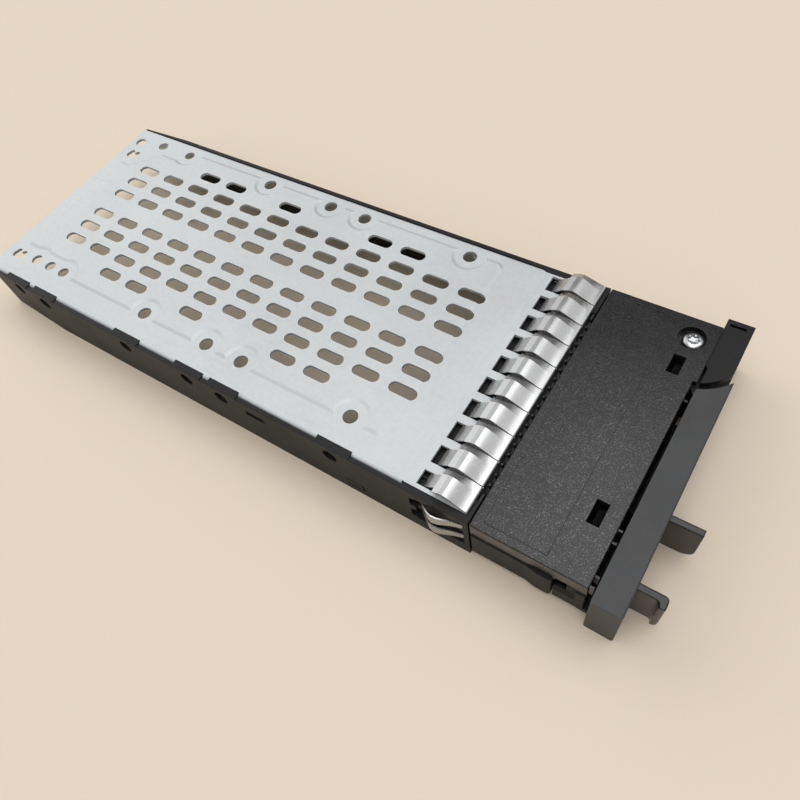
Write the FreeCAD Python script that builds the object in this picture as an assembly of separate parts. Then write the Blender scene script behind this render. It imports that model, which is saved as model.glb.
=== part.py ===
"""Hot swap carrier for a 2.5 inch drive, empty, lying with its perforated tray upwards.

Working frame of the functions below, in millimetres:
  x = 0 at the rear edge of the tray, growing towards the handle,
  y = 0 on the centre line of the drive, the light guide rail on the -Y side,
  z = 0 on the surface that the carrier lies on.
Every finished piece is moved by PART_SHIFT, so that the origin of the part is the middle
of its bounding box on the surface that it lies on.
"""
import FreeCAD, Part
import math
import os

from FreeCAD import Vector

# ---------------------------------------------------------------- the drive it carries
DRIVE_WIDTH = 69.85              # 2.5 inch form factor
DRIVE_HOLES_ACROSS = 61.72       # between the two rows of screw holes in its base
DRIVE_HOLES_ALONG = 76.60        # between the rear and the front pair
DRIVE_FIRST_HOLE = 14.05         # from its connector end to the rear pair
DRIVE_SIDE_HOLE = 3.0            # from its base to its side screw holes
DRIVE_SHIFTS = (0.0, 13.3, 51.1) # the three places the drive can be screwed in
DRIVE_SIDE_GAP = 0.08            # left on each side of the drive

# ---------------------------------------------------------------- steel tray
CARRIER_HEIGHT = 18.0            # lying surface to the top of the tray
STEEL = 0.9                      # tray sheet
TRAY_LENGTH = 180.8
GUIDE_RAIL_WIDTH = 4.3           # space for the light guides, between drive and tray side
FLANGE_DEPTH = 11.0              # folded sides, from the top of the tray
BEND_RADIUS = 1.1                # outside of the folds
PANEL_RISE, PANEL_SLOPE = 0.4, 1.0    # stiffening panel pressed upwards, width of its sloping rim
PANEL_REAR = 5.1
PANEL_TO_FRONT = 28.1            # from its front end to the front edge of the tray
PANEL_PAST_HOLES = 1.54          # its long sides, outside the rows of screw holes
PANEL_CORNER = 2.2
PAD_RADIUS = 4.5                 # flat pad left round each screw hole
REAR_PAD_NEAR, REAR_PAD_FAR = 5.2, 14.4    # widths of the flat rear corners of the panel
REAR_PAD_LENGTH = 24.0
SCREW_HOLE = 3.6                 # clearance, rear group and both sides
ACCESS_HOLE = 4.2                # front group
EXTRA_HOLE_X = 20.8              # fourth hole of the near rear group
KEYHOLE_LONG, KEYHOLE_SHORT = 5.2, 2.6
KEYHOLE_X = 6.1
KEYHOLE_NEAR_Y, KEYHOLE_FAR_Y = -32.2, 22.4
REAR_PIN_HOLE = 3.7
REAR_PIN_HOLE_X, REAR_PIN_HOLE_Y = 3.8, 29.2

SLOT_LENGTH, SLOT_WIDTH = 8.4, 3.45
SLOT_PITCH_X, SLOT_PITCH_Y = 11.80, 6.49
SLOT_COLUMNS, SLOT_ROWS_PER_SIDE = 12, 4
SLOT_MIDDLE_X = 84.7             # middle of the slot field
SLOT_INNER_Y = 4.98              # centre line of the rows next to the middle
OUTER_ROW_COLUMNS = (3, 4, 6, 9, 10)

JOG_TO_FRONT, JOG_RUN, JOG_DROP = 17.6, 0.8, 0.3   # step down before the contact fingers
FRONT_TRIM = 0.75                # the tray is this much narrower on each side past the jog

# ---------------------------------------------------------------- contact fingers on top
SPRING_STEEL = 0.28
FINGER_COUNT = 10
FINGER_PITCH = 7.63
FINGER_FIRST_Y = -39.35          # near edge of the first finger
FINGER_SLIT = 0.25
FINGER_FLAT = 5.25               # width of the pressed crest, the rest slopes down beside it
FINGER_NECK = 4.75               # free end, inside its window in the tray
NECK_INSET = 0.15                # from the near edge of the finger to that of its neck
WINDOW_TO_FRONT = 14.4           # rear edge of the windows to the front edge of the tray
WINDOW_LENGTH, WINDOW_WIDTH = 5.1, 5.3
FIRST_WINDOW_SHIFT = 1.1         # the nearest window is narrower
NECK_TIP_INSET, NECK_TIP_DROP = 1.75, 1.0   # free end, ahead of the window edge and below the tray top
NECK_ROOT_RISE = 1.9             # above the tray top, where the finger leaves its window
CREST_TO_FRONT, CREST_RISE = 6.35, 3.0
CREST_BAND, CREST_WIDTH = 1.2, 0.45        # gentler slope behind the crest, and the crest itself
WING_DROP = 0.95                 # the sloping side of the crest
FRONT_EDGE_RISE = 0.45
LIP_DEPTH = 2.3                  # folded over the front edge of the tray
LIP_RADIUS = 0.7

# ---------------------------------------------------------------- moulded rail frame
SKIN = 1.2                       # outer wall of the rails
SHEET_GAP = 0.1                  # round the folded sides of the tray
RAIL_OVERHANG = 0.2              # the rails reach past the rear edge of the tray
RAIL_BOTTOM = 1.5
RAIL_DRAFT = 0.35                # the rails are this much wider at the bottom
RAIL_TOP_DROP = 0.25             # rail tops, below the top of the tray
LEAD_IN_LENGTH, LEAD_IN = 26.0, 1.1
INNER_WALL = 0.7
LUG_LENGTH, LUG_DEPTH = 10.8, 1.0
LUG_OFFSET = 1.0                 # the lugs sit a little ahead of their screw hole
SIDE_ACCESS_HOLE = 4.4
BOSS_LENGTH = 8.0
SNAP_WINDOW_LENGTH, SNAP_WINDOW_HEIGHT = 6.6, 2.0
SNAP_WINDOW_X, SNAP_WINDOW_Z = 112.8, 12.2
SNAP_TONGUE_LENGTH, SNAP_TONGUE_HEIGHT, SNAP_SLIT = 6.0, 1.7, 0.45
SNAP_TONGUE_X, SNAP_TONGUE_Z = 144.8, 3.2
FRAME_PAST_TRAY = 1.45           # front face of the frame, ahead of the tray
CORNER_LENGTH = 6.0              # solid front corners
CORNER_NEAR_WIDTH, CORNER_FAR_WIDTH = 6.3, 9.8
CROSS_BAR_HEIGHT = 2.6
SHELF_TO_WINDOW, SHELF = 0.65, 1.2      # shelf under the finger windows, from 0.65 behind their rear edge

# side contact clips
CLIP_POCKET_TO_FRONT, CLIP_POCKET_LENGTH = 14.85, 13.6
CLIP_POCKET_DEPTH = 0.75
CLIP_WINDOW_LEAD, CLIP_WINDOW_LENGTH = 1.6, 3.4
CLIP_PRONG_HEIGHT = 3.9
CLIP_PRONG_DROP = (12.9, 6.9)    # bottom of each prong, below the top of the tray
CLIP_PRONG_POINT = 1.0           # each prong narrows by this on both sides towards its tip
CLIP_BULGE = 1.7                 # past the outer face of the rail
CLIP_BULGE_AT = 5.4              # from the root of the prong
CLIP_SHEET = 0.3

# screws between the frame and the front base
BULKHEAD_SHANK, BULKHEAD_HEAD = 1.05, 2.0    # radii
BULKHEAD_HEAD_HEIGHT, BULKHEAD_LENGTH = 1.3, 10.0
BULKHEAD_FROM_FAR, BULKHEAD_Z = 5.0, 8.7
BULKHEAD_BOSS, BULKHEAD_BOSS_LENGTH = 2.4, 5.0

# perforated air screen at the front of the bay
SCREEN_SHEET = 0.5
SCREEN_CELL, SCREEN_WEB = 2.5, 0.6
SCREEN_ROWS = 6
SCREEN_TOP_ROW = 0.7             # centres of the top row of cells, below the cut top edge
SCREEN_BOTTOM = 1.6

# light guides
GUIDE_WIDTH, GUIDE_HEIGHT = 1.45, 2.2
GUIDE_SPACING = 1.75             # between their centre lines
GUIDE_HIGH_DROP = 6.0            # centre line at the front, below the top of the housing
GUIDE_RISE_FROM, GUIDE_RISE_TO = 4.9, 20.4    # from the rear face of the housing
GUIDE_BEND = 6.0
GUIDE_END_GAP = 0.15             # behind the front face of the housing

# ---------------------------------------------------------------- front housing
HOUSING_GAP = 0.35               # between frame and housing
HOUSING_LENGTH = 29.1
HOUSING_STEP = 0.1               # near side, outside the near rail
HOUSING_BOTTOM = 1.6
PLASTIC = 1.5                    # walls of the housing
COVER_TOP = 1.8
COVER_SKIRT = 6.3                # height of the cover, the base reaches up to just below it
PARTING_GAP = 0.06
NEAR_DRAFT = 0.35                # the near side of the cover leans in by this much downwards
LABEL_FROM_REAR, LABEL_LENGTH = 2.65, 15.75
LABEL_FROM_NEAR, LABEL_WIDTH = 2.2, 55.9
LABEL_RISE, LABEL_ROUND = 0.15, 0.1     # raised field for a label
GROOVE_FROM_REAR, GROOVE_LENGTH = 7.6, 10.5     # engraved line beside the far edge
GROOVE_FROM_FAR, GROOVE_WIDTH, GROOVE_DEPTH = 2.0, 0.3, 0.2
HOOK_WINDOW_FROM_FRONT, HOOK_WINDOW_LENGTH = 3.8, 3.1
NEAR_HOOK_FROM_NEAR, NEAR_HOOK_WIDTH = 13.6, 6.3
FAR_HOOK_FROM_FAR, FAR_HOOK_WIDTH = 13.2, 6.0
HOOK_NOSE, HOOK_LEDGE_DROP, HOOK_LEDGE = 0.75, 3.6, 0.9
EDGE_ROUND = 0.4
RIM_ROUND = 0.25                 # upper rim of the base

ARM_FROM_REAR, ARM_LENGTH = 4.6, 16.4   # moulded spring arm in the near side
ARM_SLIT = 0.5
ARM_BULGE, ARM_BULGE_LENGTH = 0.5, 6.5
PORT_HOLE, PORT_LENGTH = 2.8, 5.1       # square hole beyond the arm and the recess round it
PORT_DEPTH, PORT_HEIGHT, PORT_SILL = 0.7, 5.6, 1.4
PORT_TOP_DROP = 5.0              # below the top of the housing

PIVOT_FROM_FRONT, PIVOT_FROM_FAR = 4.35, 6.6    # axis of the handle
POST_RADIUS = 2.5
SCREW_HEAD_RADIUS, SCREW_HEAD_HEIGHT = 2.6, 1.5
SCREW_SHANK_RADIUS, SCREW_LENGTH = 1.25, 9.0
SCREW_RECESS_RADIUS, SCREW_RECESS_DEPTH = 3.6, 1.9
SCREW_RECESS_SHIFT = 0.5
SCREW_DRIVE_RADIUS, SCREW_DRIVE_DEPTH = 1.15, 0.9

CAP_GAP, CAP_LENGTH = 0.95, 6.75        # fixed end cap beside the handle
CAP_PAST_HOUSING = 3.5
CAP_JOINT = 0.04                 # between the cap and the cover's step
CAP_CLEARANCE, CAP_CLEARANCE_LENGTH = 0.7, 6.0    # wider gap next to the handle
CAP_ARC_RADIUS = 13.5            # about the handle axis
CAP_TOP_DROP = 0.35
CAP_WALL = 1.6
CAP_SLOT_FROM_REAR, CAP_SLOT_LENGTH, CAP_SLOT_WIDTH = 0.95, 4.1, 0.8
CAP_SLOT_FROM_END = 1.4
CAP_SLOT_DEPTH = 6.0

# ---------------------------------------------------------------- handle
HANDLE_GAP, HANDLE_DEPTH = 1.4, 7.2     # from the housing, and from rear to front face
HANDLE_PAST_NEAR = 2.4           # past the near side of the housing
HANDLE_ARC_RADIUS = 15.5         # its far end, about its own axis
HANDLE_WALL = 1.5
HANDLE_ROUND = 0.5
HUB_RADIUS, HUB_LIFT, HUB_DROP = 5.0, 1.5, 4.6    # above the floor of the base, below the top
HUB_RUNNING_GAP = 0.06
ARM_HALF_WIDTH = 2.6
ARM_END_IN, ARM_END_OUT = 3.1, 14.3     # from the rear face of the bar, from the axis
SOLID_END_FROM_AXIS = 24.6       # the bar is filled from here to its far end
TOOTH_ANGLE = 104.0              # direction of the cam tooth when the handle is closed
TOOTH_REACH = 9.7
TOOTH_WINDOW_BACK, TOOTH_WINDOW_AHEAD = 10.55, 2.25    # from the axis
RIB_WIDTH, RIB_REACH, RIB_TOP_DROP = 0.6, 1.05, 0.9
RIB_FROM_NEAR = (1.0, 3.6, 12.3, 15.6, 54.1)    # ribs in the gap behind the handle
GAP_LIP_END = 2.3                # lip under that gap, from the round end of the bar

# ---------------------------------------------------------------- release tabs
TAB_FROM_NEAR, TAB_SPACING = 9.1, 17.9  # near tab from the end of the handle, and to the far one
TAB_THICKNESS = 1.8
TAB_REACH = 7.7                  # past the front of the handle
TAB_NEAR_SHORTER = 1.0
TAB_FOOT, TAB_HEAD = 0.8, 1.0    # from the walls of the bar
TAB_CORNER, TAB_EDGE = 3.6, 0.35
TAB_CURL, TAB_CURL_WALL = 1.4, 1.6      # the near tab turns outwards at its tip
TAB_AXIS_IN = 2.1                # from the rear face of the bar
TAB_HUB_RADIUS = 1.9
TAB_PIN_RADIUS, TAB_PIN_GAP = 0.8, 0.05
TAB_HUB_PAST_LATCH = 1.0
TAB_PIN_SOCKET = 0.6
LATCH_Z0, LATCH_Z1 = 4.6, 10.3
LATCH_INTO_HOUSING = 3.3
LATCH_BARB, LATCH_BARB_LENGTH = 1.0, 1.5
LATCH_GAP = 0.3
LATCH_RELEASE_GAP = 0.7          # beside the barb, so that the handle can swing by itself
TAB_SWING = 10.0                 # degrees
TAB_SPRING_AHEAD = 2.15          # of the tab axes
TAB_SPRING_RADIUS, TAB_SPRING_WIRE, TAB_SPRING_TURNS = 1.0, 0.35, 6
LENS_WIDTH, LENS_HEIGHT = 1.45, 2.2

# ---------------------------------------------------------------- worked out sizes
TRAY_TOP = CARRIER_HEIGHT
TRAY_UNDER = TRAY_TOP - STEEL
DRIVE_HALF = DRIVE_WIDTH / 2 + DRIVE_SIDE_GAP
TRAY_FAR = DRIVE_HALF + STEEL
TRAY_NEAR = -(DRIVE_HALF + GUIDE_RAIL_WIDTH + STEEL)
PANEL_FRONT = TRAY_LENGTH - PANEL_TO_FRONT
PANEL_HALF_WIDTH = DRIVE_HOLES_ACROSS / 2 + PANEL_PAST_HOLES
JOG_X = TRAY_LENGTH - JOG_TO_FRONT
WINDOW_X = TRAY_LENGTH - WINDOW_TO_FRONT
CREST_X = TRAY_LENGTH - CREST_TO_FRONT
LIP_X = TRAY_LENGTH              # inside face of the folded lip
LIP_FRONT = LIP_X + SPRING_STEEL
RAIL_NEAR = TRAY_NEAR - SHEET_GAP - SKIN
RAIL_FAR = TRAY_FAR + SHEET_GAP + SKIN
RAIL_TOP = TRAY_TOP - RAIL_TOP_DROP
SIDE_HOLE_Z = TRAY_UNDER - DRIVE_SIDE_HOLE
DRIVE_HOLE_X = sorted(
    shift + DRIVE_FIRST_HOLE + step for shift in DRIVE_SHIFTS for step in (0.0, DRIVE_HOLES_ALONG)
)
REAR_GROUP = DRIVE_HOLE_X[:2]
FRONT_GROUP = DRIVE_HOLE_X[2:]
INNER_FACE = DRIVE_HALF + 0.02   # of both rails, beside the drive
FRAME_FRONT = TRAY_LENGTH + FRAME_PAST_TRAY
CORNER_NEAR_Y = RAIL_NEAR + CORNER_NEAR_WIDTH
CORNER_FAR_Y = RAIL_FAR - CORNER_FAR_WIDTH
CLIP_POCKET_X = FRAME_FRONT - CLIP_POCKET_TO_FRONT
CLIP_WINDOW_X = CLIP_POCKET_X - CLIP_WINDOW_LEAD
CLIP_PRONG_Z = [TRAY_TOP - drop for drop in CLIP_PRONG_DROP]
SCREEN_REAR = FRAME_FRONT - SCREEN_SHEET - 0.2

HOUSING_REAR = FRAME_FRONT + HOUSING_GAP
HOUSING_FRONT = HOUSING_REAR + HOUSING_LENGTH
HOUSING_NEAR = RAIL_NEAR - HOUSING_STEP
HOUSING_FAR = RAIL_FAR
HOUSING_TOP = CARRIER_HEIGHT
FLOOR_TOP = HOUSING_BOTTOM + PLASTIC
COVER_SKIRT_BOTTOM = HOUSING_TOP - COVER_SKIRT
BASE_WALL_TOP = COVER_SKIRT_BOTTOM - PARTING_GAP
LABEL_X0 = HOUSING_REAR + LABEL_FROM_REAR
LABEL_X1 = LABEL_X0 + LABEL_LENGTH
LABEL_Y0 = HOUSING_NEAR + LABEL_FROM_NEAR
LABEL_Y1 = LABEL_Y0 + LABEL_WIDTH
HOOK_WINDOW_X1 = HOUSING_FRONT - HOOK_WINDOW_FROM_FRONT
HOOK_WINDOW_X0 = HOOK_WINDOW_X1 - HOOK_WINDOW_LENGTH
NEAR_HOOK_Y = HOUSING_NEAR + NEAR_HOOK_FROM_NEAR
FAR_HOOK_Y = HOUSING_FAR - FAR_HOOK_FROM_FAR
HOOKS = ((NEAR_HOOK_Y, NEAR_HOOK_Y + NEAR_HOOK_WIDTH), (FAR_HOOK_Y - FAR_HOOK_WIDTH, FAR_HOOK_Y))
ARM_ROOT_X = HOUSING_REAR + ARM_FROM_REAR
ARM_TIP_X = ARM_ROOT_X + ARM_LENGTH
PORT_X0 = ARM_TIP_X + ARM_SLIT
PORT_TOP_Z = HOUSING_TOP - PORT_TOP_DROP
GUIDE_LOW_Z = FLOOR_TOP + GUIDE_HEIGHT / 2
GUIDE_HIGH_Z = HOUSING_TOP - GUIDE_HIGH_DROP
GUIDE_RISE_START = HOUSING_REAR + GUIDE_RISE_FROM
GUIDE_RISE_END = HOUSING_REAR + GUIDE_RISE_TO
GUIDE_Y = (TRAY_NEAR + STEEL + SHEET_GAP - INNER_FACE - INNER_WALL) / 2

PIVOT_X = HOUSING_FRONT - PIVOT_FROM_FRONT
PIVOT_Y = HOUSING_FAR - PIVOT_FROM_FAR
HUB_Z0 = FLOOR_TOP + HUB_LIFT
HUB_Z1 = HOUSING_TOP - HUB_DROP
CAP_X0 = HOUSING_FRONT + CAP_GAP
CAP_X1 = CAP_X0 + CAP_LENGTH
CAP_END_Y = HOUSING_FAR + CAP_PAST_HOUSING
HANDLE_TOP = CARRIER_HEIGHT
HANDLE_REAR = HOUSING_FRONT + HANDLE_GAP
HANDLE_FRONT = HANDLE_REAR + HANDLE_DEPTH
HANDLE_NEAR_Y = HOUSING_NEAR - HANDLE_PAST_NEAR
ARM_END_X = HANDLE_REAR + ARM_END_IN
ARM_END_Y = PIVOT_Y - ARM_END_OUT
SOLID_END_Y = PIVOT_Y - SOLID_END_FROM_AXIS
TAB_NEAR_Y = HANDLE_NEAR_Y + TAB_FROM_NEAR
TAB_FAR_Y = TAB_NEAR_Y + TAB_SPACING
TAB_TIP_X = HANDLE_FRONT + TAB_REACH
TAB_PIVOT_X = HANDLE_REAR + TAB_AXIS_IN
TAB_Z0 = HANDLE_WALL + TAB_FOOT
TAB_Z1 = HANDLE_TOP - HANDLE_WALL - TAB_HEAD
TAB_SPRING_X = TAB_PIVOT_X + TAB_SPRING_AHEAD
LATCH_TIP_X = HOUSING_FRONT - LATCH_INTO_HOUSING
OVERALL_NEAR = HANDLE_NEAR_Y
OVERALL_FAR = CAP_END_Y
OVERALL_REAR = -RAIL_OVERHANG
PART_SHIFT = Vector(
    -(OVERALL_REAR + TAB_TIP_X) / 2,
    -(OVERALL_NEAR + OVERALL_FAR) / 2,
    0,
)


# ---------------------------------------------------------------- small helpers
def block(x0, x1, y0, y1, z0, z1):
    """Rectangular solid between two corners."""
    return Part.makeBox(x1 - x0, y1 - y0, z1 - z0, Vector(x0, y0, z0))


def upright(radius, x, y, z0, z1):
    """Cylinder along Z."""
    return Part.makeCylinder(radius, z1 - z0, Vector(x, y, z0))


def crosswise(radius, x, z, y0, y1):
    """Cylinder along Y."""
    return Part.makeCylinder(radius, y1 - y0, Vector(x, y0, z), Vector(0, 1, 0))


def lengthwise(radius, y, z, x0, x1):
    """Cylinder along X."""
    return Part.makeCylinder(radius, x1 - x0, Vector(x0, y, z), Vector(1, 0, 0))


def plan_prism(points, z0, z1):
    """Solid with a straight-sided outline in plan."""
    corners = [Vector(x, y, z0) for x, y in points]
    face = Part.Face(Part.makePolygon(corners + corners[:1]))
    return face.extrude(Vector(0, 0, z1 - z0))


def side_prism(points, y0, y1):
    """Solid with a straight-sided outline seen from the side, as (x, z)."""
    corners = [Vector(x, y0, z) for x, z in points]
    face = Part.Face(Part.makePolygon(corners + corners[:1]))
    return face.extrude(Vector(0, y1 - y0, 0))


def end_prism(points, x0, x1):
    """Solid with a straight-sided section, as (y, z), run along X."""
    corners = [Vector(x0, y, z) for y, z in points]
    face = Part.Face(Part.makePolygon(corners + corners[:1]))
    return face.extrude(Vector(x1 - x0, 0, 0))


def stadium(x, y, length, width, z0, z1):
    """Slot with round ends, long axis along X."""
    radius = width / 2
    half = length / 2 - radius
    a = Vector(x - half, y - radius, z0)
    b = Vector(x + half, y - radius, z0)
    c = Vector(x + half, y + radius, z0)
    d = Vector(x - half, y + radius, z0)
    edges = [
        Part.LineSegment(a, b).toShape(),
        Part.Arc(b, Vector(x + half + radius, y, z0), c).toShape(),
        Part.LineSegment(c, d).toShape(),
        Part.Arc(d, Vector(x - half - radius, y, z0), a).toShape(),
    ]
    return Part.Face(Part.Wire(edges)).extrude(Vector(0, 0, z1 - z0))


def polar(angle, radius):
    """Point at an angle in degrees and a radius round the handle axis."""
    turn = math.radians(angle)
    return PIVOT_X + radius * math.cos(turn), PIVOT_Y + radius * math.sin(turn)


def pivot_arc_y(radius, x):
    """Y of the near side of a circle round the handle axis, at a given x."""
    return PIVOT_Y - math.sqrt(radius ** 2 - (x - PIVOT_X) ** 2)


def edges_near(shape, test):
    """Edges whose middle passes a test."""
    found = []
    for edge in shape.Edges:
        middle = edge.valueAt((edge.FirstParameter + edge.LastParameter) / 2)
        if test(edge, middle):
            found.append(edge)
    return found


def export(name, shape):
    """Write one node, moved to the frame of the part."""
    moved = shape.copy()
    moved.translate(PART_SHIFT)
    moved.exportStep("parts/" + name + ".step")


# ---------------------------------------------------------------- steel tray
def raised_panel(inset, z0, z1):
    """The pressed panel as a solid, its outline drawn in round every screw pad."""
    panel = block(
        PANEL_REAR + inset, PANEL_FRONT - inset,
        -PANEL_HALF_WIDTH + inset, PANEL_HALF_WIDTH - inset, z0, z1,
    )
    upright_edges = edges_near(panel, lambda edge, middle: z0 < middle.z < z1)
    panel = panel.makeFillet(PANEL_CORNER, upright_edges)
    near_pad_y = -PANEL_HALF_WIDTH + REAR_PAD_NEAR + inset
    far_pad_y = PANEL_HALF_WIDTH - REAR_PAD_FAR - inset
    side_pad_y = PANEL_HALF_WIDTH - REAR_PAD_NEAR - inset
    middle_x = PANEL_REAR + REAR_PAD_LENGTH / 2
    pad_end = PANEL_REAR + REAR_PAD_LENGTH
    pads = [
        block(0, pad_end, -PANEL_HALF_WIDTH - 1, near_pad_y, z0, z1),
        plan_prism(
            [(0, far_pad_y), (PANEL_REAR + REAR_PAD_LENGTH / 6, far_pad_y), (middle_x, side_pad_y),
             (pad_end, side_pad_y), (pad_end, PANEL_HALF_WIDTH + 1), (0, PANEL_HALF_WIDTH + 1)],
            z0, z1,
        ),
    ]
    for x in DRIVE_HOLE_X:
        for side in (-1, 1):
            pads.append(upright(PAD_RADIUS + inset, x, side * DRIVE_HOLES_ACROSS / 2, z0, z1))
    return panel.cut(pads).removeSplitter()


def sloping_panel():
    """The panel with its rim sloping down over PANEL_SLOPE."""
    z0, z1 = TRAY_UNDER + STEEL / 2, TRAY_TOP + PANEL_RISE
    outline = [face for face in raised_panel(0.0, z0, z1).Faces if face.BoundBox.ZMin > z1 - 0.01][0].OuterWire
    outline.translate(Vector(0, 0, z0 - z1))
    panel = Part.Face(outline).extrude(Vector(0, 0, z1 - z0))
    crown = edges_near(panel, lambda edge, middle: edge.BoundBox.ZMin > z1 - 0.01)
    return panel.makeChamfer(PANEL_RISE, PANEL_SLOPE, crown)


def lug_places():
    """Middle of each lug of the near rail that reaches through the tray edge."""
    return [x + LUG_OFFSET for x in DRIVE_HOLE_X]


def tray_cutters():
    """Everything punched through the tray from above."""
    z0, z1 = TRAY_UNDER - 1, TRAY_TOP + 1
    cutters = []
    for column in range(1, SLOT_COLUMNS + 1):
        x = SLOT_MIDDLE_X + (column - (SLOT_COLUMNS + 1) / 2) * SLOT_PITCH_X
        for row in range(SLOT_ROWS_PER_SIDE):
            if row == SLOT_ROWS_PER_SIDE - 1 and column not in OUTER_ROW_COLUMNS:
                continue
            y = SLOT_INNER_Y + row * SLOT_PITCH_Y
            cutters.append(stadium(x, y, SLOT_LENGTH, SLOT_WIDTH, z0, z1))
            cutters.append(stadium(x, -y, SLOT_LENGTH, SLOT_WIDTH, z0, z1))
    half_across = DRIVE_HOLES_ACROSS / 2
    for side in (-1, 1):
        for x in REAR_GROUP:
            cutters.append(upright(SCREW_HOLE / 2, x, side * half_across, z0, z1))
        for x in FRONT_GROUP:
            cutters.append(upright(ACCESS_HOLE / 2, x, side * half_across, z0, z1))
    cutters.append(upright(SCREW_HOLE / 2, EXTRA_HOLE_X, -half_across, z0, z1))
    cutters.append(upright(REAR_PIN_HOLE / 2, REAR_PIN_HOLE_X, REAR_PIN_HOLE_Y, z0, z1))
    for y in (KEYHOLE_NEAR_Y, KEYHOLE_FAR_Y):
        cutters.append(keyhole(KEYHOLE_X, y, z0, z1))
    for index in range(FINGER_COUNT):
        cutters.append(finger_window(index, z0, z1))
    return cutters


def keyhole(x, y, z0, z1):
    """Wide hole with two round lobes towards the far side."""
    body = stadium(x, y, KEYHOLE_LONG, KEYHOLE_SHORT, z0, z1)
    lobe = KEYHOLE_LONG / 4
    lobes = [upright(lobe * 0.75, x + side * lobe, y + KEYHOLE_SHORT / 2, z0, z1) for side in (-1, 1)]
    return body.fuse(lobes)


def finger_y(index):
    """Near edge of a contact finger."""
    return FINGER_FIRST_Y + index * FINGER_PITCH


def finger_window(index, z0, z1):
    """Window in the tray that the free end of a finger dips into."""
    y0 = finger_y(index) - (WINDOW_WIDTH - FINGER_NECK) / 2 + NECK_INSET
    y1 = y0 + WINDOW_WIDTH
    if index == 0:
        y0 += FIRST_WINDOW_SHIFT
    return block(WINDOW_X, WINDOW_X + WINDOW_LENGTH, y0, y1, z0, z1)


def make_tray():
    """Folded and pierced sheet: top with jog, two folded sides, raised panel."""
    low_top = TRAY_TOP - JOG_DROP
    low_under = TRAY_UNDER - JOG_DROP
    jog_section = [
        (JOG_X, TRAY_TOP), (JOG_X + JOG_RUN, low_top), (TRAY_LENGTH, low_top),
        (TRAY_LENGTH, low_under), (JOG_X + JOG_RUN, low_under), (JOG_X, TRAY_UNDER),
    ]
    flange_bottom = TRAY_TOP - FLANGE_DEPTH
    channel_section = [
        (TRAY_NEAR, flange_bottom), (TRAY_NEAR, TRAY_TOP), (TRAY_FAR, TRAY_TOP), (TRAY_FAR, flange_bottom),
        (TRAY_FAR - STEEL, flange_bottom), (TRAY_FAR - STEEL, TRAY_UNDER),
        (TRAY_NEAR + STEEL, TRAY_UNDER), (TRAY_NEAR + STEEL, flange_bottom),
    ]
    channel = end_prism(channel_section, 0, JOG_X)
    folds = edges_near(
        channel,
        lambda edge, middle: middle.z > TRAY_TOP - 0.01 and edge.Length > JOG_X - 1,
    )
    channel = channel.makeFillet(BEND_RADIUS, folds)
    sheet = channel.fuse(side_prism(jog_section, TRAY_NEAR + FRONT_TRIM, TRAY_FAR - FRONT_TRIM))
    trims = []
    for x in lug_places():
        half = LUG_LENGTH / 2 + SHEET_GAP
        trims.append(block(x - half, x + half, TRAY_NEAR - 1, TRAY_NEAR + LUG_DEPTH + SHEET_GAP,
                           TRAY_UNDER - 0.6, TRAY_TOP + 1))
    for x in DRIVE_HOLE_X:
        trims.append(crosswise(SCREW_HOLE / 2, x, SIDE_HOLE_Z, TRAY_NEAR - 1, TRAY_NEAR + STEEL + 1))
        trims.append(crosswise(SCREW_HOLE / 2, x, SIDE_HOLE_Z, TRAY_FAR - STEEL - 1, TRAY_FAR + 1))
    sheet = sheet.cut(trims)
    hollow = raised_panel(PANEL_SLOPE, TRAY_UNDER - 1, TRAY_UNDER + PANEL_RISE)
    return sheet.fuse(sloping_panel()).cut(hollow).cut(tray_cutters()).removeSplitter()


# ---------------------------------------------------------------- contact fingers
def finger_line(drop):
    """Points of the upper side of a finger over the crest, as (x, z), the crest lowered by a drop."""
    crest = TRAY_TOP + CREST_RISE - drop
    window_end = WINDOW_X + WINDOW_LENGTH
    root = TRAY_TOP + NECK_ROOT_RISE - drop * 0.8
    front = TRAY_TOP + FRONT_EDGE_RISE
    bend_x = LIP_X + SPRING_STEEL - LIP_RADIUS
    run = bend_x - CREST_X - CREST_WIDTH
    fall = crest - 0.08 - front
    return [
        (window_end, root),
        (CREST_X - CREST_BAND, crest - 0.18),
        (CREST_X, crest),
        (CREST_X + CREST_WIDTH, crest - 0.08),
        (CREST_X + CREST_WIDTH + run * 0.5, crest - 0.08 - fall * 0.53),
        (bend_x, front), (bend_x + 0.2, front - 0.03),
    ]


def thicken(points):
    """Points of the lower side of a sheet whose upper side runs through the points."""
    lower = []
    last = len(points) - 1
    for index, (x, z) in enumerate(points):
        x0, z0 = points[max(index - 1, 0)]
        x1, z1 = points[min(index + 1, last)]
        length = math.hypot(x1 - x0, z1 - z0)
        lower.append((x + (z1 - z0) / length * SPRING_STEEL, z - (x1 - x0) / length * SPRING_STEEL))
    return lower


def creased_curve(points, creases):
    """Edges through the points, smooth between the creases and straight where only two points are left."""
    stops = [0] + [index for index in creases] + [len(points) - 1]
    edges = []
    for start, stop in zip(stops, stops[1:]):
        run = points[start:stop + 1]
        if len(run) == 2:
            edges.append(Part.LineSegment(run[0], run[1]).toShape())
        else:
            curve = Part.BSplineCurve()
            curve.interpolate(run)
            edges.append(curve.toShape())
    return edges


def sheet_section(points, y, creases=()):
    """Closed wire of the bent sheet in the plane at y: its upper and lower side, joined at their ends."""
    upper = [Vector(x, y, z) for x, z in points]
    lower = [Vector(x, y, z) for x, z in thicken(points)]
    upper_edges = creased_curve(upper, creases)
    lower_edges = creased_curve(lower, creases)
    ends = [Part.LineSegment(upper[-1], lower[-1]).toShape(), Part.LineSegment(lower[0], upper[0]).toShape()]
    return Part.Wire(Part.__sortEdges__(upper_edges + [ends[0]] + lower_edges + [ends[1]]))


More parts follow.
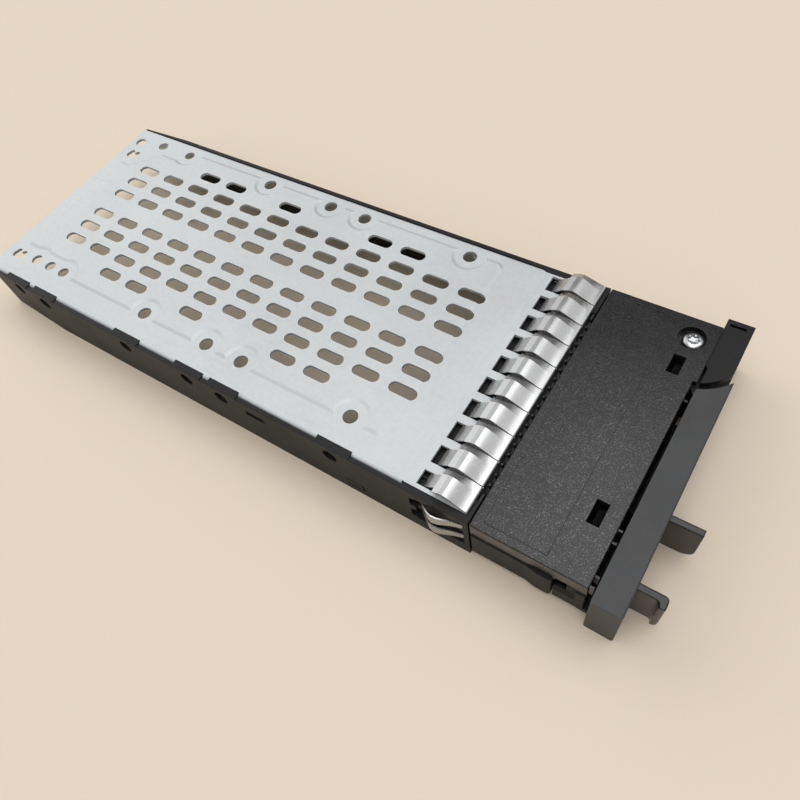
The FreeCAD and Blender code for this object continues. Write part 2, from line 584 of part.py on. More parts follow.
def finger_solid(index):
    """One finger: neck in the window, pressed crest and the wing that slopes down beside it."""
    y0 = finger_y(index)
    line = finger_line(0.0)
    tip = (WINDOW_X + NECK_TIP_INSET, TRAY_TOP - NECK_TIP_DROP)
    root = line[0]
    neck = [tip, ((tip[0] + root[0]) / 2, (tip[1] + root[1]) / 2 + 0.1), root]
    neck_y0 = y0 + NECK_INSET + (FIRST_WINDOW_SHIFT if index == 0 else 0.0)
    neck_width = y0 + NECK_INSET + FINGER_NECK - neck_y0
    spine = Part.Face(sheet_section(neck, neck_y0)).extrude(Vector(0, neck_width, 0))
    creases = (1, 2, 3)
    inner = sheet_section(line, y0 + FINGER_FLAT, creases)
    flat = Part.Face(inner).extrude(Vector(0, -FINGER_FLAT, 0))
    outer = sheet_section(finger_line(WING_DROP), y0 + FINGER_PITCH - FINGER_SLIT, creases)
    wing = Part.makeLoft([inner, outer], True, True)
    return flat.fuse([spine, wing])


def make_finger_strip():
    """The fingers and the lip that holds them together, folded over the tray's front edge."""
    y0 = finger_y(0)
    y1 = finger_y(FINGER_COUNT - 1) + FINGER_PITCH - FINGER_SLIT
    front = TRAY_TOP + FRONT_EDGE_RISE
    outer_x = LIP_X + SPRING_STEEL
    centre = Vector(outer_x - LIP_RADIUS, 0, front - LIP_RADIUS)
    inner_radius = LIP_RADIUS - SPRING_STEEL
    slope = math.radians(45)

    def on_bend(radius, angle):
        return Vector(centre.x + radius * math.sin(angle), y0, centre.z + radius * math.cos(angle))

    bottom = TRAY_TOP - LIP_DEPTH
    edges = [
        Part.Arc(on_bend(LIP_RADIUS, 0), on_bend(LIP_RADIUS, slope), on_bend(LIP_RADIUS, 2 * slope)).toShape(),
        Part.LineSegment(on_bend(LIP_RADIUS, 2 * slope), Vector(outer_x, y0, bottom)).toShape(),
        Part.LineSegment(Vector(outer_x, y0, bottom), Vector(outer_x - SPRING_STEEL, y0, bottom)).toShape(),
        Part.LineSegment(Vector(outer_x - SPRING_STEEL, y0, bottom), on_bend(inner_radius, 2 * slope)).toShape(),
        Part.Arc(on_bend(inner_radius, 2 * slope), on_bend(inner_radius, slope), on_bend(inner_radius, 0)).toShape(),
        Part.LineSegment(on_bend(inner_radius, 0), on_bend(LIP_RADIUS, 0)).toShape(),
    ]
    lip = Part.Face(Part.Wire(edges)).extrude(Vector(0, y1 - y0, 0))
    slits = []
    for index in range(FINGER_COUNT - 1):
        y = finger_y(index + 1) - FINGER_SLIT
        slits.append(block(LIP_X - 2, LIP_X + 1, y, y + FINGER_SLIT, TRAY_TOP - 0.2, TRAY_TOP + 2))
    fingers = [finger_solid(index) for index in range(FINGER_COUNT)]
    return lip.cut(slits).fuse(fingers).removeSplitter()


# ---------------------------------------------------------------- moulded rail frame
def near_rail():
    """Outer wall, bottom and inner wall with the light guide space between them."""
    outer = [
        (RAIL_NEAR - RAIL_DRAFT, 0), (RAIL_NEAR - RAIL_DRAFT, RAIL_BOTTOM), (RAIL_NEAR, RAIL_TOP),
        (RAIL_NEAR + SKIN, RAIL_TOP), (RAIL_NEAR + SKIN, FLOOR_TOP),
        (-INNER_FACE - INNER_WALL, FLOOR_TOP), (-INNER_FACE - INNER_WALL, TRAY_UNDER - 1),
        (-INNER_FACE, TRAY_UNDER - 1), (-INNER_FACE, 0),
    ]
    rail = end_prism(outer, -RAIL_OVERHANG, FRAME_FRONT)
    bosses = []
    bores = []
    for x in DRIVE_HOLE_X:
        bosses.append(block(x - BOSS_LENGTH / 2, x + BOSS_LENGTH / 2, TRAY_NEAR + STEEL + SHEET_GAP,
                            -INNER_FACE, SIDE_HOLE_Z - BOSS_LENGTH / 2, TRAY_UNDER - 1))
        bores.append(crosswise(SIDE_ACCESS_HOLE / 2, x, SIDE_HOLE_Z, RAIL_NEAR - 1, TRAY_NEAR))
        bores.append(crosswise(SCREW_HOLE / 2, x, SIDE_HOLE_Z, TRAY_NEAR, -INNER_FACE + 1))
    for x in lug_places():
        bosses.append(block(x - LUG_LENGTH / 2, x + LUG_LENGTH / 2, RAIL_NEAR, TRAY_NEAR + LUG_DEPTH,
                            TRAY_UNDER - 0.5, TRAY_TOP))
    front_band = block(JOG_X + SHEET_GAP, FRAME_FRONT, RAIL_NEAR, TRAY_NEAR + FRONT_TRIM - SHEET_GAP,
                       TRAY_UNDER - 2, RAIL_TOP)
    return rail.fuse(bosses + [front_band]).cut(bores)


def far_rail():
    """Outer wall and the ledge under the folded side of the tray."""
    flange_bottom = TRAY_TOP - FLANGE_DEPTH - SHEET_GAP
    section = [
        (RAIL_FAR + RAIL_DRAFT, 0), (RAIL_FAR + RAIL_DRAFT, RAIL_BOTTOM), (RAIL_FAR, RAIL_TOP),
        (RAIL_FAR - SKIN, RAIL_TOP), (RAIL_FAR - SKIN, flange_bottom), (INNER_FACE, flange_bottom),
        (INNER_FACE, 0),
    ]
    rail = end_prism(section, -RAIL_OVERHANG, FRAME_FRONT)
    front_band = block(JOG_X + SHEET_GAP, FRAME_FRONT, TRAY_FAR - FRONT_TRIM + SHEET_GAP, RAIL_FAR,
                       TRAY_UNDER - 2, RAIL_TOP)
    bores = [crosswise(SIDE_ACCESS_HOLE / 2, x, SIDE_HOLE_Z, TRAY_FAR, RAIL_FAR + 1) for x in DRIVE_HOLE_X]
    return rail.fuse(front_band).cut(bores)


def lead_in_cutters():
    """Tapers that thin the rear ends of both rails."""
    length = LEAD_IN_LENGTH - RAIL_OVERHANG
    wide = LEAD_IN + RAIL_DRAFT
    near = RAIL_NEAR - RAIL_DRAFT
    far = RAIL_FAR + RAIL_DRAFT
    return [
        plan_prism([(-RAIL_OVERHANG - 1, near - 1), (length, near - 1), (length, near),
                    (-RAIL_OVERHANG, near + wide), (-RAIL_OVERHANG - 1, near + wide)], -1, TRAY_TOP + 1),
        plan_prism([(-RAIL_OVERHANG - 1, far + 1), (length, far + 1), (length, far),
                    (-RAIL_OVERHANG, far - wide), (-RAIL_OVERHANG - 1, far - wide)], -1, TRAY_TOP + 1),
    ]


def snap_cutters(face, inward):
    """Window and U-shaped slit of the snaps in the outer wall of a rail."""
    y0, y1 = sorted((face - inward, face + inward * (SKIN + 0.05)))
    tongue_x1 = SNAP_TONGUE_X + SNAP_TONGUE_LENGTH
    tongue_z1 = SNAP_TONGUE_Z + SNAP_TONGUE_HEIGHT
    return [
        block(SNAP_WINDOW_X, SNAP_WINDOW_X + SNAP_WINDOW_LENGTH, y0, y1,
              SNAP_WINDOW_Z, SNAP_WINDOW_Z + SNAP_WINDOW_HEIGHT),
        block(SNAP_TONGUE_X, tongue_x1, y0, y1, SNAP_TONGUE_Z - SNAP_SLIT, SNAP_TONGUE_Z),
        block(SNAP_TONGUE_X, tongue_x1, y0, y1, tongue_z1, tongue_z1 + SNAP_SLIT),
        block(tongue_x1 - SNAP_SLIT, tongue_x1, y0, y1, SNAP_TONGUE_Z, tongue_z1),
    ]


def clip_pocket_cutters(face, inward):
    """Pocket for a side contact clip and the two windows that it hooks into."""
    y0, y1 = sorted((face - inward * 2, face + inward * CLIP_POCKET_DEPTH))
    through = sorted((face - inward * 2, face + inward * (SKIN + SHEET_GAP + 1.2)))
    z0 = CLIP_PRONG_Z[0] - 0.6
    z1 = CLIP_PRONG_Z[1] + CLIP_PRONG_HEIGHT + 0.6
    cutters = [block(CLIP_POCKET_X, CLIP_POCKET_X + CLIP_POCKET_LENGTH, y0, y1, z0, z1)]
    for z in CLIP_PRONG_Z:
        cutters.append(block(CLIP_WINDOW_X, CLIP_WINDOW_X + CLIP_WINDOW_LENGTH, through[0], through[1],
                             z, z + CLIP_PRONG_HEIGHT))
    return cutters


def make_frame():
    """Both rails, the low cross bar and the solid front corners, moulded in one."""
    corner_x = FRAME_FRONT - CORNER_LENGTH
    corner_top = TRAY_TOP - LIP_DEPTH - 0.2
    ahead_of_lip = LIP_FRONT + 0.12
    pieces = [
        far_rail(),
        block(corner_x, FRAME_FRONT, -INNER_FACE, INNER_FACE, 0, CROSS_BAR_HEIGHT),
        block(corner_x, FRAME_FRONT, RAIL_NEAR, CORNER_NEAR_Y, 0, corner_top),
        block(corner_x, FRAME_FRONT, CORNER_FAR_Y, RAIL_FAR, 0, corner_top),
        block(ahead_of_lip, FRAME_FRONT, RAIL_NEAR, CORNER_NEAR_Y, 0, RAIL_TOP),
        block(ahead_of_lip, FRAME_FRONT, CORNER_FAR_Y, RAIL_FAR, 0, RAIL_TOP),
        block(WINDOW_X - SHELF_TO_WINDOW, SCREEN_REAR - 0.1, TRAY_NEAR + STEEL + SHEET_GAP, INNER_FACE - SHEET_GAP,
              corner_top - 0.1 - SHELF, corner_top - 0.1),
    ]
    guide_space = block(-RAIL_OVERHANG - 1, FRAME_FRONT + 1, TRAY_NEAR + STEEL + SHEET_GAP,
                        -INNER_FACE - INNER_WALL, FLOOR_TOP, GUIDE_LOW_Z + GUIDE_HEIGHT / 2 + 0.4)
    screen_seat = block(SCREEN_REAR, FRAME_FRONT + 1, CORNER_NEAR_Y, CORNER_FAR_Y, SCREEN_BOTTOM, TRAY_TOP)
    lip_space = block(LIP_X - 0.3, ahead_of_lip, finger_y(0) - 0.1, finger_y(FINGER_COUNT) + 0.1,
                      corner_top, TRAY_TOP + 1)
    cutters = [guide_space, screen_seat, lip_space] + lead_in_cutters()
    for face, inward in ((RAIL_NEAR, 1), (RAIL_FAR, -1)):
        cutters += snap_cutters(face, inward)
        cutters += clip_pocket_cutters(face, inward)
    cutters += bulkhead_bores()
    return near_rail().fuse(pieces).cut(cutters).removeSplitter()


def bulkhead_screw_places():
    """Axes (y, z) of the two screws that join the frame to the front base."""
    return [(RAIL_FAR - BULKHEAD_FROM_FAR, BULKHEAD_Z), (GUIDE_Y, BULKHEAD_Z)]


def bulkhead_bores():
    """Clearance holes for those screws through the frame's front corners, and room for their heads."""
    corner_x = FRAME_FRONT - CORNER_LENGTH
    bores = []
    for y, z in bulkhead_screw_places():
        bores.append(lengthwise(BULKHEAD_SHANK + 0.15, y, z, corner_x - 1, FRAME_FRONT + 1))
        bores.append(lengthwise(BULKHEAD_HEAD + 0.2, y, z, corner_x - 4, corner_x))
    return bores


def make_bulkhead_screws():
    """Two short pan head screws from the bay into the front base."""
    screws = []
    head_x = FRAME_FRONT - CORNER_LENGTH
    for y, z in bulkhead_screw_places():
        head = lengthwise(BULKHEAD_HEAD, y, z, head_x - BULKHEAD_HEAD_HEIGHT, head_x)
        shank = lengthwise(BULKHEAD_SHANK, y, z, head_x, head_x + BULKHEAD_LENGTH)
        screws.append(head.fuse(shank))
    return Part.makeCompound(screws)


# ---------------------------------------------------------------- side contact clips
def make_side_clip(face, inward):
    """Spring clip: a strip behind the wall of the rail and two pointed prongs bowed out of its windows."""
    behind = face + inward * (SKIN + 0.15)
    bulge = face - inward * CLIP_BULGE
    x0 = CLIP_WINDOW_X + CLIP_WINDOW_LENGTH / 2
    x1 = CLIP_POCKET_X + CLIP_POCKET_LENGTH - 0.6
    peak = x0 + CLIP_BULGE_AT
    outer = [
        (x0, behind), (x0 + 0.9, behind), (x0 + 1.5, face + inward * 0.35),
        (peak - 1.4, bulge + inward * 0.4), (peak, bulge), (peak + 1.4, bulge + inward * 0.15),
        ((peak + x1) / 2 + 1, face - inward * 0.35), (x1, face + inward * (CLIP_POCKET_DEPTH - CLIP_SHEET - 0.1)),
    ]
    inner = [(x, y + inward * CLIP_SHEET) for x, y in outer]
    prongs = []
    for z in CLIP_PRONG_Z:
        top = z + CLIP_PRONG_HEIGHT
        leaf = [(x0, z), (peak, z), (x1, z + CLIP_PRONG_POINT), (x1, top - CLIP_PRONG_POINT), (peak, top), (x0, top)]
        y0, y1 = sorted((bulge - inward, behind + inward))
        prongs.append(plan_prism(outer + inner[::-1], z, top).common(side_prism(leaf, y0, y1)))
    y0, y1 = sorted((behind, behind + inward * CLIP_SHEET))
    strip = block(x0, x0 + 0.9, y0, y1, CLIP_PRONG_Z[0], CLIP_PRONG_Z[1] + CLIP_PRONG_HEIGHT)
    return strip.fuse(prongs).removeSplitter()


# ---------------------------------------------------------------- air screen
def make_air_screen():
    """Thin sheet with staggered six-sided holes, upright across the front of the bay."""
    z0 = SCREEN_BOTTOM
    z1 = TRAY_UNDER - JOG_DROP + 0.6
    y0 = CORNER_NEAR_Y + 0.05
    y1 = CORNER_FAR_Y - 0.05
    sheet = block(SCREEN_REAR, SCREEN_REAR + SCREEN_SHEET, y0, y1, z0, z1)
    pitch = SCREEN_CELL + SCREEN_WEB
    row_pitch = pitch * math.sqrt(3) / 2
    radius = SCREEN_CELL / math.sqrt(3)
    columns = int((y1 - y0 - SCREEN_CELL) / pitch)
    cells = []
    for row in range(SCREEN_ROWS):
        z = z1 - SCREEN_TOP_ROW - row * row_pitch
        shift = pitch / 2 if row % 2 else 0.0
        for column in range(columns - row % 2):
            y = (y0 + y1) / 2 + (column - (columns - 1) / 2) * pitch + shift
            corners = [
                (y + radius * math.cos(math.radians(60 * k + 90)), z + radius * math.sin(math.radians(60 * k + 90)))
                for k in range(6)
            ]
            cells.append(end_prism(corners, SCREEN_REAR - 1, SCREEN_REAR + SCREEN_SHEET + 1))
    return sheet.cut(cells)


# ---------------------------------------------------------------- light guides
def make_light_guide(offset):
    """Square bar from the rear of the rail to the front wall of the housing, with a smooth rise."""
    y = GUIDE_Y + offset
    x0 = -RAIL_OVERHANG + 0.5
    x3 = HOUSING_FRONT - GUIDE_END_GAP
    corners = [
        Vector(x0, y, GUIDE_LOW_Z), Vector(GUIDE_RISE_START, y, GUIDE_LOW_Z),
        Vector(GUIDE_RISE_END, y, GUIDE_HIGH_Z), Vector(x3, y, GUIDE_HIGH_Z),
    ]
    half = GUIDE_HEIGHT / 2
    run = corners[2].x - corners[1].x
    rise = corners[2].z - corners[1].z
    miter = half * math.tan(math.atan2(rise, run) / 2)
    upper = [(x0, GUIDE_LOW_Z + half), (corners[1].x - miter, GUIDE_LOW_Z + half),
             (corners[2].x - miter, GUIDE_HIGH_Z + half), (x3, GUIDE_HIGH_Z + half)]
    lower = [(x3, GUIDE_HIGH_Z - half), (corners[2].x + miter, GUIDE_HIGH_Z - half),
             (corners[1].x + miter, GUIDE_LOW_Z - half), (x0, GUIDE_LOW_Z - half)]
    bar = side_prism(upper + lower, y - GUIDE_WIDTH / 2, y + GUIDE_WIDTH / 2)
    bends = edges_near(
        bar,
        lambda edge, middle: abs(edge.Length - GUIDE_WIDTH) < 0.01 and x0 + 1 < middle.x < x3 - 1,
    )
    return bar.makeFillet(GUIDE_BEND, bends)


# ---------------------------------------------------------------- front housing
def latch_window(y, toward, z0, z1):
    """Opening in the housing front for a latch arm; toward is the side its barb points to."""
    swing = (TAB_PIVOT_X - LATCH_TIP_X) * math.sin(math.radians(TAB_SWING))
    barb_side = TAB_THICKNESS / 2 + LATCH_BARB + LATCH_RELEASE_GAP
    other_side = TAB_THICKNESS / 2 + swing + LATCH_GAP
    y0, y1 = sorted((y + toward * barb_side, y - toward * other_side))
    return block(HOUSING_FRONT - PLASTIC - 0.5, HOUSING_FRONT + 0.5, y0, y1, z0, z1)


def front_openings():
    """Openings shared by cover and base: latch arms, handle arm, cam tooth, light guides."""
    z0, z1 = LATCH_Z0 - LATCH_GAP, LATCH_Z1 + LATCH_GAP
    wall_y = pivot_arc_y(CAP_ARC_RADIUS, HOUSING_FRONT)
    tooth_x0, tooth_x1 = PIVOT_X - TOOTH_WINDOW_BACK, PIVOT_X + TOOTH_WINDOW_AHEAD
    guide_half = GUIDE_SPACING / 2 + GUIDE_WIDTH / 2 + 0.2
    return [
        latch_window(TAB_FAR_Y, -1, z0, z1),
        latch_window(TAB_NEAR_Y, 1, z0, z1),
        block(HOUSING_FRONT - PLASTIC - 0.5, HOUSING_FRONT + 0.5, wall_y - 0.6, PIVOT_Y + 4.6,
              HUB_Z0 - LATCH_GAP, HUB_Z1 + LATCH_GAP),
        block(tooth_x0, tooth_x1, HOUSING_FAR - PLASTIC - 0.5, HOUSING_FAR + 0.5,
              HUB_Z0 - LATCH_GAP, HUB_Z1 + LATCH_GAP),
        block(HOUSING_FRONT - PLASTIC - 0.5, HOUSING_FRONT + 0.5, GUIDE_Y - guide_half, GUIDE_Y + guide_half,
              GUIDE_HIGH_Z - GUIDE_HEIGHT / 2 - 0.2, GUIDE_HIGH_Z + GUIDE_HEIGHT / 2 + 0.2),
        block(HOUSING_REAR - 0.5, HOUSING_REAR + PLASTIC + 0.5, GUIDE_Y - guide_half, GUIDE_Y + guide_half,
              GUIDE_LOW_Z - GUIDE_HEIGHT / 2 - 0.2, GUIDE_LOW_Z + GUIDE_HEIGHT / 2 + 0.2),
    ]


def label_field():
    """Slightly raised field in the top of the cover, its upper edges rounded."""
    top = HOUSING_TOP + LABEL_RISE
    field = block(LABEL_X0, LABEL_X1, LABEL_Y0, LABEL_Y1, HOUSING_TOP - COVER_TOP / 2, top)
    return field.makeFillet(LABEL_ROUND, edges_near(field, lambda edge, middle: middle.z > top - 0.01))


def box_corner_edges(shape, low):
    """Level outer edges at the top or the bottom of the housing and its upright rear and near corners."""
    level = HOUSING_BOTTOM if low else HOUSING_TOP
    return edges_near(
        shape,
        lambda edge, middle: abs(middle.z - level) < 0.01
        or (abs(edge.tangentAt(edge.FirstParameter).z) > 0.99
            and (middle.x < HOUSING_REAR + 0.01 or middle.y < HOUSING_NEAR + 0.01)),
    )


def side_port_cutters():
    """Square hole in the near side and the shallow recess with a sloping sill round it."""
    x1 = PORT_X0 + PORT_LENGTH
    z1 = PORT_TOP_Z - PORT_HEIGHT
    z0 = z1 - PORT_SILL
    deep = HOUSING_NEAR + PORT_DEPTH
    sill = [(HOUSING_NEAR - 1, z0), (HOUSING_NEAR, z0), (deep, z1), (deep, PORT_TOP_Z), (HOUSING_NEAR - 1, PORT_TOP_Z)]
    return [
        end_prism(sill, PORT_X0, x1),
        block(PORT_X0, PORT_X0 + PORT_HOLE, HOUSING_NEAR - 1, HOUSING_NEAR + PLASTIC + 0.3, z1, PORT_TOP_Z),
    ]


def make_cover():
    """Lid of the front housing: top, skirts, hook windows, screw recess, ribs and the step beside the cap."""
    outside = block(HOUSING_REAR, HOUSING_FRONT, HOUSING_NEAR, HOUSING_FAR, COVER_SKIRT_BOTTOM, HOUSING_TOP)
    outside = outside.makeFillet(EDGE_ROUND, box_corner_edges(outside, False))
    step_y = pivot_arc_y(CAP_ARC_RADIUS, CAP_X0)
    step = block(HOUSING_FRONT - PLASTIC / 2, CAP_X0 - CAP_JOINT, step_y, HOUSING_FAR,
                 HOUSING_TOP - COVER_TOP, HOUSING_TOP)
    step = step.makeFillet(EDGE_ROUND, edges_near(
        step, lambda edge, middle: middle.z > HOUSING_TOP - 0.01 and middle.y > HOUSING_FAR - 0.01))
    step_side = block(HOUSING_FRONT - PLASTIC / 2, CAP_X0 - CAP_JOINT, HOUSING_FAR - 0.6, HOUSING_FAR,
                      COVER_SKIRT_BOTTOM, HOUSING_TOP - COVER_TOP)
    inside_near = HOUSING_NEAR + NEAR_DRAFT + PLASTIC
    draft_top = HOUSING_TOP - EDGE_ROUND * 2
    draft = [(HOUSING_NEAR - 1, COVER_SKIRT_BOTTOM), (HOUSING_NEAR + NEAR_DRAFT, COVER_SKIRT_BOTTOM),
             (HOUSING_NEAR, draft_top), (HOUSING_NEAR - 1, draft_top)]
    groove_x0 = HOUSING_REAR + GROOVE_FROM_REAR
    groove_y1 = HOUSING_FAR - GROOVE_FROM_FAR
    cutters = [
        block(HOUSING_REAR + PLASTIC, HOUSING_FRONT - PLASTIC, inside_near, HOUSING_FAR - PLASTIC,
              COVER_SKIRT_BOTTOM - 1, HOUSING_TOP - COVER_TOP),
        end_prism(draft, HOUSING_REAR - 1, HOUSING_FRONT + 1),
        block(groove_x0, groove_x0 + GROOVE_LENGTH, groove_y1 - GROOVE_WIDTH, groove_y1,
              HOUSING_TOP - GROOVE_DEPTH, HOUSING_TOP + 1),
    ]
    ledge_top = HOUSING_TOP - HOOK_LEDGE_DROP
    ledges = []
    for y0, y1 in HOOKS:
        ledges.append(block(HOOK_WINDOW_X1 - HOOK_NOSE, HOOK_WINDOW_X1 + HOOK_LEDGE, y0, y1,
                            ledge_top - HOOK_LEDGE, HOUSING_TOP - COVER_TOP + 0.1))
    windows = [block(HOOK_WINDOW_X0, HOOK_WINDOW_X1, y0, y1, ledge_top, HOUSING_TOP + 1) for y0, y1 in HOOKS]
    seat_z = HOUSING_TOP - SCREW_RECESS_DEPTH
    pad = upright(SCREW_RECESS_RADIUS + PLASTIC, PIVOT_X - SCREW_RECESS_SHIFT, PIVOT_Y, seat_z - 1.2,
                  HOUSING_TOP - COVER_TOP)
    inside = block(HOUSING_REAR + PLASTIC / 2, HOUSING_FRONT - PLASTIC / 2, inside_near,
                   HOUSING_FAR - PLASTIC / 2, 0, HOUSING_TOP)
    rib_bottom = GUIDE_HIGH_Z + GUIDE_HEIGHT / 2 + 0.3
    ribs = [
        block(HOUSING_FRONT - 0.3, HOUSING_FRONT + RIB_REACH, HOUSING_NEAR + along - RIB_WIDTH / 2,
              HOUSING_NEAR + along + RIB_WIDTH / 2, rib_bottom, HOUSING_TOP - RIB_TOP_DROP)
        for along in RIB_FROM_NEAR
    ]
    recess = upright(SCREW_RECESS_RADIUS, PIVOT_X - SCREW_RECESS_SHIFT, PIVOT_Y, seat_z, HOUSING_TOP + 1)
    bore = upright(SCREW_SHANK_RADIUS + 0.15, PIVOT_X, PIVOT_Y, 0, HOUSING_TOP)
    cover = outside.cut(cutters).fuse([pad.common(inside), step, step_side, label_field()] + ribs + ledges)
    return cover.cut([recess, bore] + windows + front_openings() + side_port_cutters()).removeSplitter()


def cap_face(x_back, back_gap, z0, y_end):
    """Plan of the fixed end cap: straight front and end, an arc beside the handle, a step in its back."""
    back_x = x_back + back_gap
    back = (back_x, pivot_arc_y(CAP_ARC_RADIUS, back_x))
    front_angle = -math.degrees(math.acos((CAP_X1 - PIVOT_X) / CAP_ARC_RADIUS))
    back_angle = -math.degrees(math.acos((back_x - PIVOT_X) / CAP_ARC_RADIUS))
    middle = polar((front_angle + back_angle) / 2, CAP_ARC_RADIUS)
    front = polar(front_angle, CAP_ARC_RADIUS)
    a, b = Vector(back[0], back[1], z0), Vector(front[0], front[1], z0)
    step_y = pivot_arc_y(CAP_ARC_RADIUS, CAP_X0) + CAP_CLEARANCE_LENGTH
    corners = [b, Vector(CAP_X1, y_end, z0), Vector(x_back, y_end, z0)]
    if back_gap:
        corners += [Vector(x_back, step_y, z0), Vector(back_x, step_y - back_gap, z0)]
    corners.append(a)
    edges = [Part.Arc(a, Vector(middle[0], middle[1], z0), b).toShape()]
    edges += [Part.LineSegment(p, q).toShape() for p, q in zip(corners, corners[1:])]
    return Part.Face(Part.Wire(edges))


def end_cap():
    """Fixed cap beside the handle: two ears on an end wall with a deep slot."""
    top = HOUSING_TOP - CAP_TOP_DROP
    end_wall_y = HOUSING_FAR - 0.6
    upper = cap_face(CAP_X0, CAP_CLEARANCE, top - CAP_WALL, CAP_END_Y).extrude(Vector(0, 0, CAP_WALL))
    front_edges = edges_near(
        upper,
        lambda edge, middle: abs(middle.z - top) < 0.01 and middle.x > CAP_X1 - 0.01,
    )
    upper = upper.makeFillet(EDGE_ROUND / 2, front_edges)
    lower = cap_face(HOUSING_FRONT - 0.3, 0.0, HOUSING_BOTTOM, CAP_END_Y).extrude(Vector(0, 0, CAP_WALL))
    lower = lower.cut(block(HOUSING_FRONT - 1, CAP_X0, HOUSING_FAR, CAP_END_Y + 1, 0, HOUSING_TOP))
    pieces = [
        lower,
        block(CAP_X0, CAP_X1, end_wall_y, CAP_END_Y, HOUSING_BOTTOM, top - CAP_WALL),
        block(HOUSING_FRONT - PLASTIC, CAP_X0 + CAP_WALL, end_wall_y - 1, HOUSING_FAR,
              HOUSING_BOTTOM, BASE_WALL_TOP),
    ]
    slot_y1 = CAP_END_Y - CAP_SLOT_FROM_END
    slot_x0 = CAP_X0 + CAP_SLOT_FROM_REAR
    slot = block(slot_x0, slot_x0 + CAP_SLOT_LENGTH, slot_y1 - CAP_SLOT_WIDTH, slot_y1,
                 top - CAP_SLOT_DEPTH, top + 1)
    return upper.fuse(pieces).cut(slot)


def near_side_arm_cutters():
    """Slits at the tip and along the foot of the spring arm in the near side."""
    wall0, wall1 = HOUSING_NEAR - 2, HOUSING_NEAR + PLASTIC + 0.3
    tip = ARM_TIP_X + ARM_SLIT
    return [
        block(ARM_TIP_X, tip, wall0, wall1, HOUSING_BOTTOM - 1, BASE_WALL_TOP + 1),
        block(ARM_ROOT_X, tip, HOUSING_NEAR + PLASTIC, HOUSING_NEAR + PLASTIC + ARM_SLIT,
              HOUSING_BOTTOM - 1, FLOOR_TOP + 1),
    ]


def arm_bulge():
    """Flat swelling outwards at the tip of the spring arm."""
    x0, x1 = ARM_TIP_X - ARM_BULGE_LENGTH, ARM_TIP_X
    outline = [
        (x0, HOUSING_NEAR + 0.2), (x0, HOUSING_NEAR), (x0 + ARM_BULGE_LENGTH * 0.45, HOUSING_NEAR - ARM_BULGE),
        (x1 - 0.6, HOUSING_NEAR - ARM_BULGE), (x1, HOUSING_NEAR - ARM_BULGE * 0.4), (x1, HOUSING_NEAR + 0.2),
    ]
    return plan_prism(outline, HOUSING_BOTTOM + EDGE_ROUND, BASE_WALL_TOP)


def make_base():
    """Open box under the cover, with the post of the handle, hooks, screw bosses and end cap."""
    outside = block(HOUSING_REAR, HOUSING_FRONT, HOUSING_NEAR, HOUSING_FAR, HOUSING_BOTTOM, BASE_WALL_TOP)
    outside = outside.makeFillet(EDGE_ROUND, box_corner_edges(outside, True))
    rim = edges_near(outside, lambda edge, middle: middle.z > BASE_WALL_TOP - 0.01)
    outside = outside.makeFillet(RIM_ROUND, rim)
    hollow = block(HOUSING_REAR + PLASTIC, HOUSING_FRONT - PLASTIC, HOUSING_NEAR + PLASTIC,
                   HOUSING_FAR - PLASTIC, FLOOR_TOP, BASE_WALL_TOP + 1)
    post = upright(POST_RADIUS, PIVOT_X, PIVOT_Y, HOUSING_BOTTOM + 0.5, HOUSING_TOP - SCREW_RECESS_DEPTH - 1.2)
    hub_seat = upright(POST_RADIUS + 1.4, PIVOT_X, PIVOT_Y, HOUSING_BOTTOM + 0.5, HUB_Z0 - 0.1)
    gap_lip = block(HOUSING_FRONT - PLASTIC, HOUSING_FRONT + RIB_REACH, HOUSING_NEAR, ARM_END_Y - GAP_LIP_END,
                    HOUSING_BOTTOM, FLOOR_TOP)
    additions = [post, hub_seat, arm_bulge(), end_cap(), gap_lip]
    for y0, y1 in HOOKS:
        additions.append(cover_hook(y0 + 0.8, y1 - 0.8))
    for y, z in bulkhead_screw_places():
        additions.append(lengthwise(BULKHEAD_BOSS, y, z, FRAME_FRONT, HOUSING_REAR + BULKHEAD_BOSS_LENGTH))
    cutters = front_openings() + near_side_arm_cutters() + side_port_cutters()
    cutters.append(upright(SCREW_SHANK_RADIUS - 0.15, PIVOT_X, PIVOT_Y, FLOOR_TOP, HOUSING_TOP))
    for y, z in bulkhead_screw_places():
        cutters.append(lengthwise(BULKHEAD_SHANK, y, z, FRAME_FRONT - 1,
                                  FRAME_FRONT - CORNER_LENGTH + BULKHEAD_LENGTH + 0.3))
    return outside.cut(hollow).fuse(additions).cut(cutters).removeSplitter()


def cover_hook(y0, y1):
    """Snap hook that stands on the floor, its nose on the ledge of a cover window."""
    nose_x = HOOK_WINDOW_X1 - 0.15
    stem_x = HOOK_WINDOW_X1 - HOOK_NOSE - 0.1
    ledge = HOUSING_TOP - HOOK_LEDGE_DROP
    outline = [
        (stem_x - 1.2, HOUSING_BOTTOM + 0.5), (stem_x - 1.2, ledge + 0.65), (stem_x - 0.2, ledge + 0.75),
        (nose_x, ledge + 0.2), (nose_x, ledge), (stem_x, ledge), (stem_x, HOUSING_BOTTOM + 0.5),
    ]
    return side_prism(outline, y0, y1)


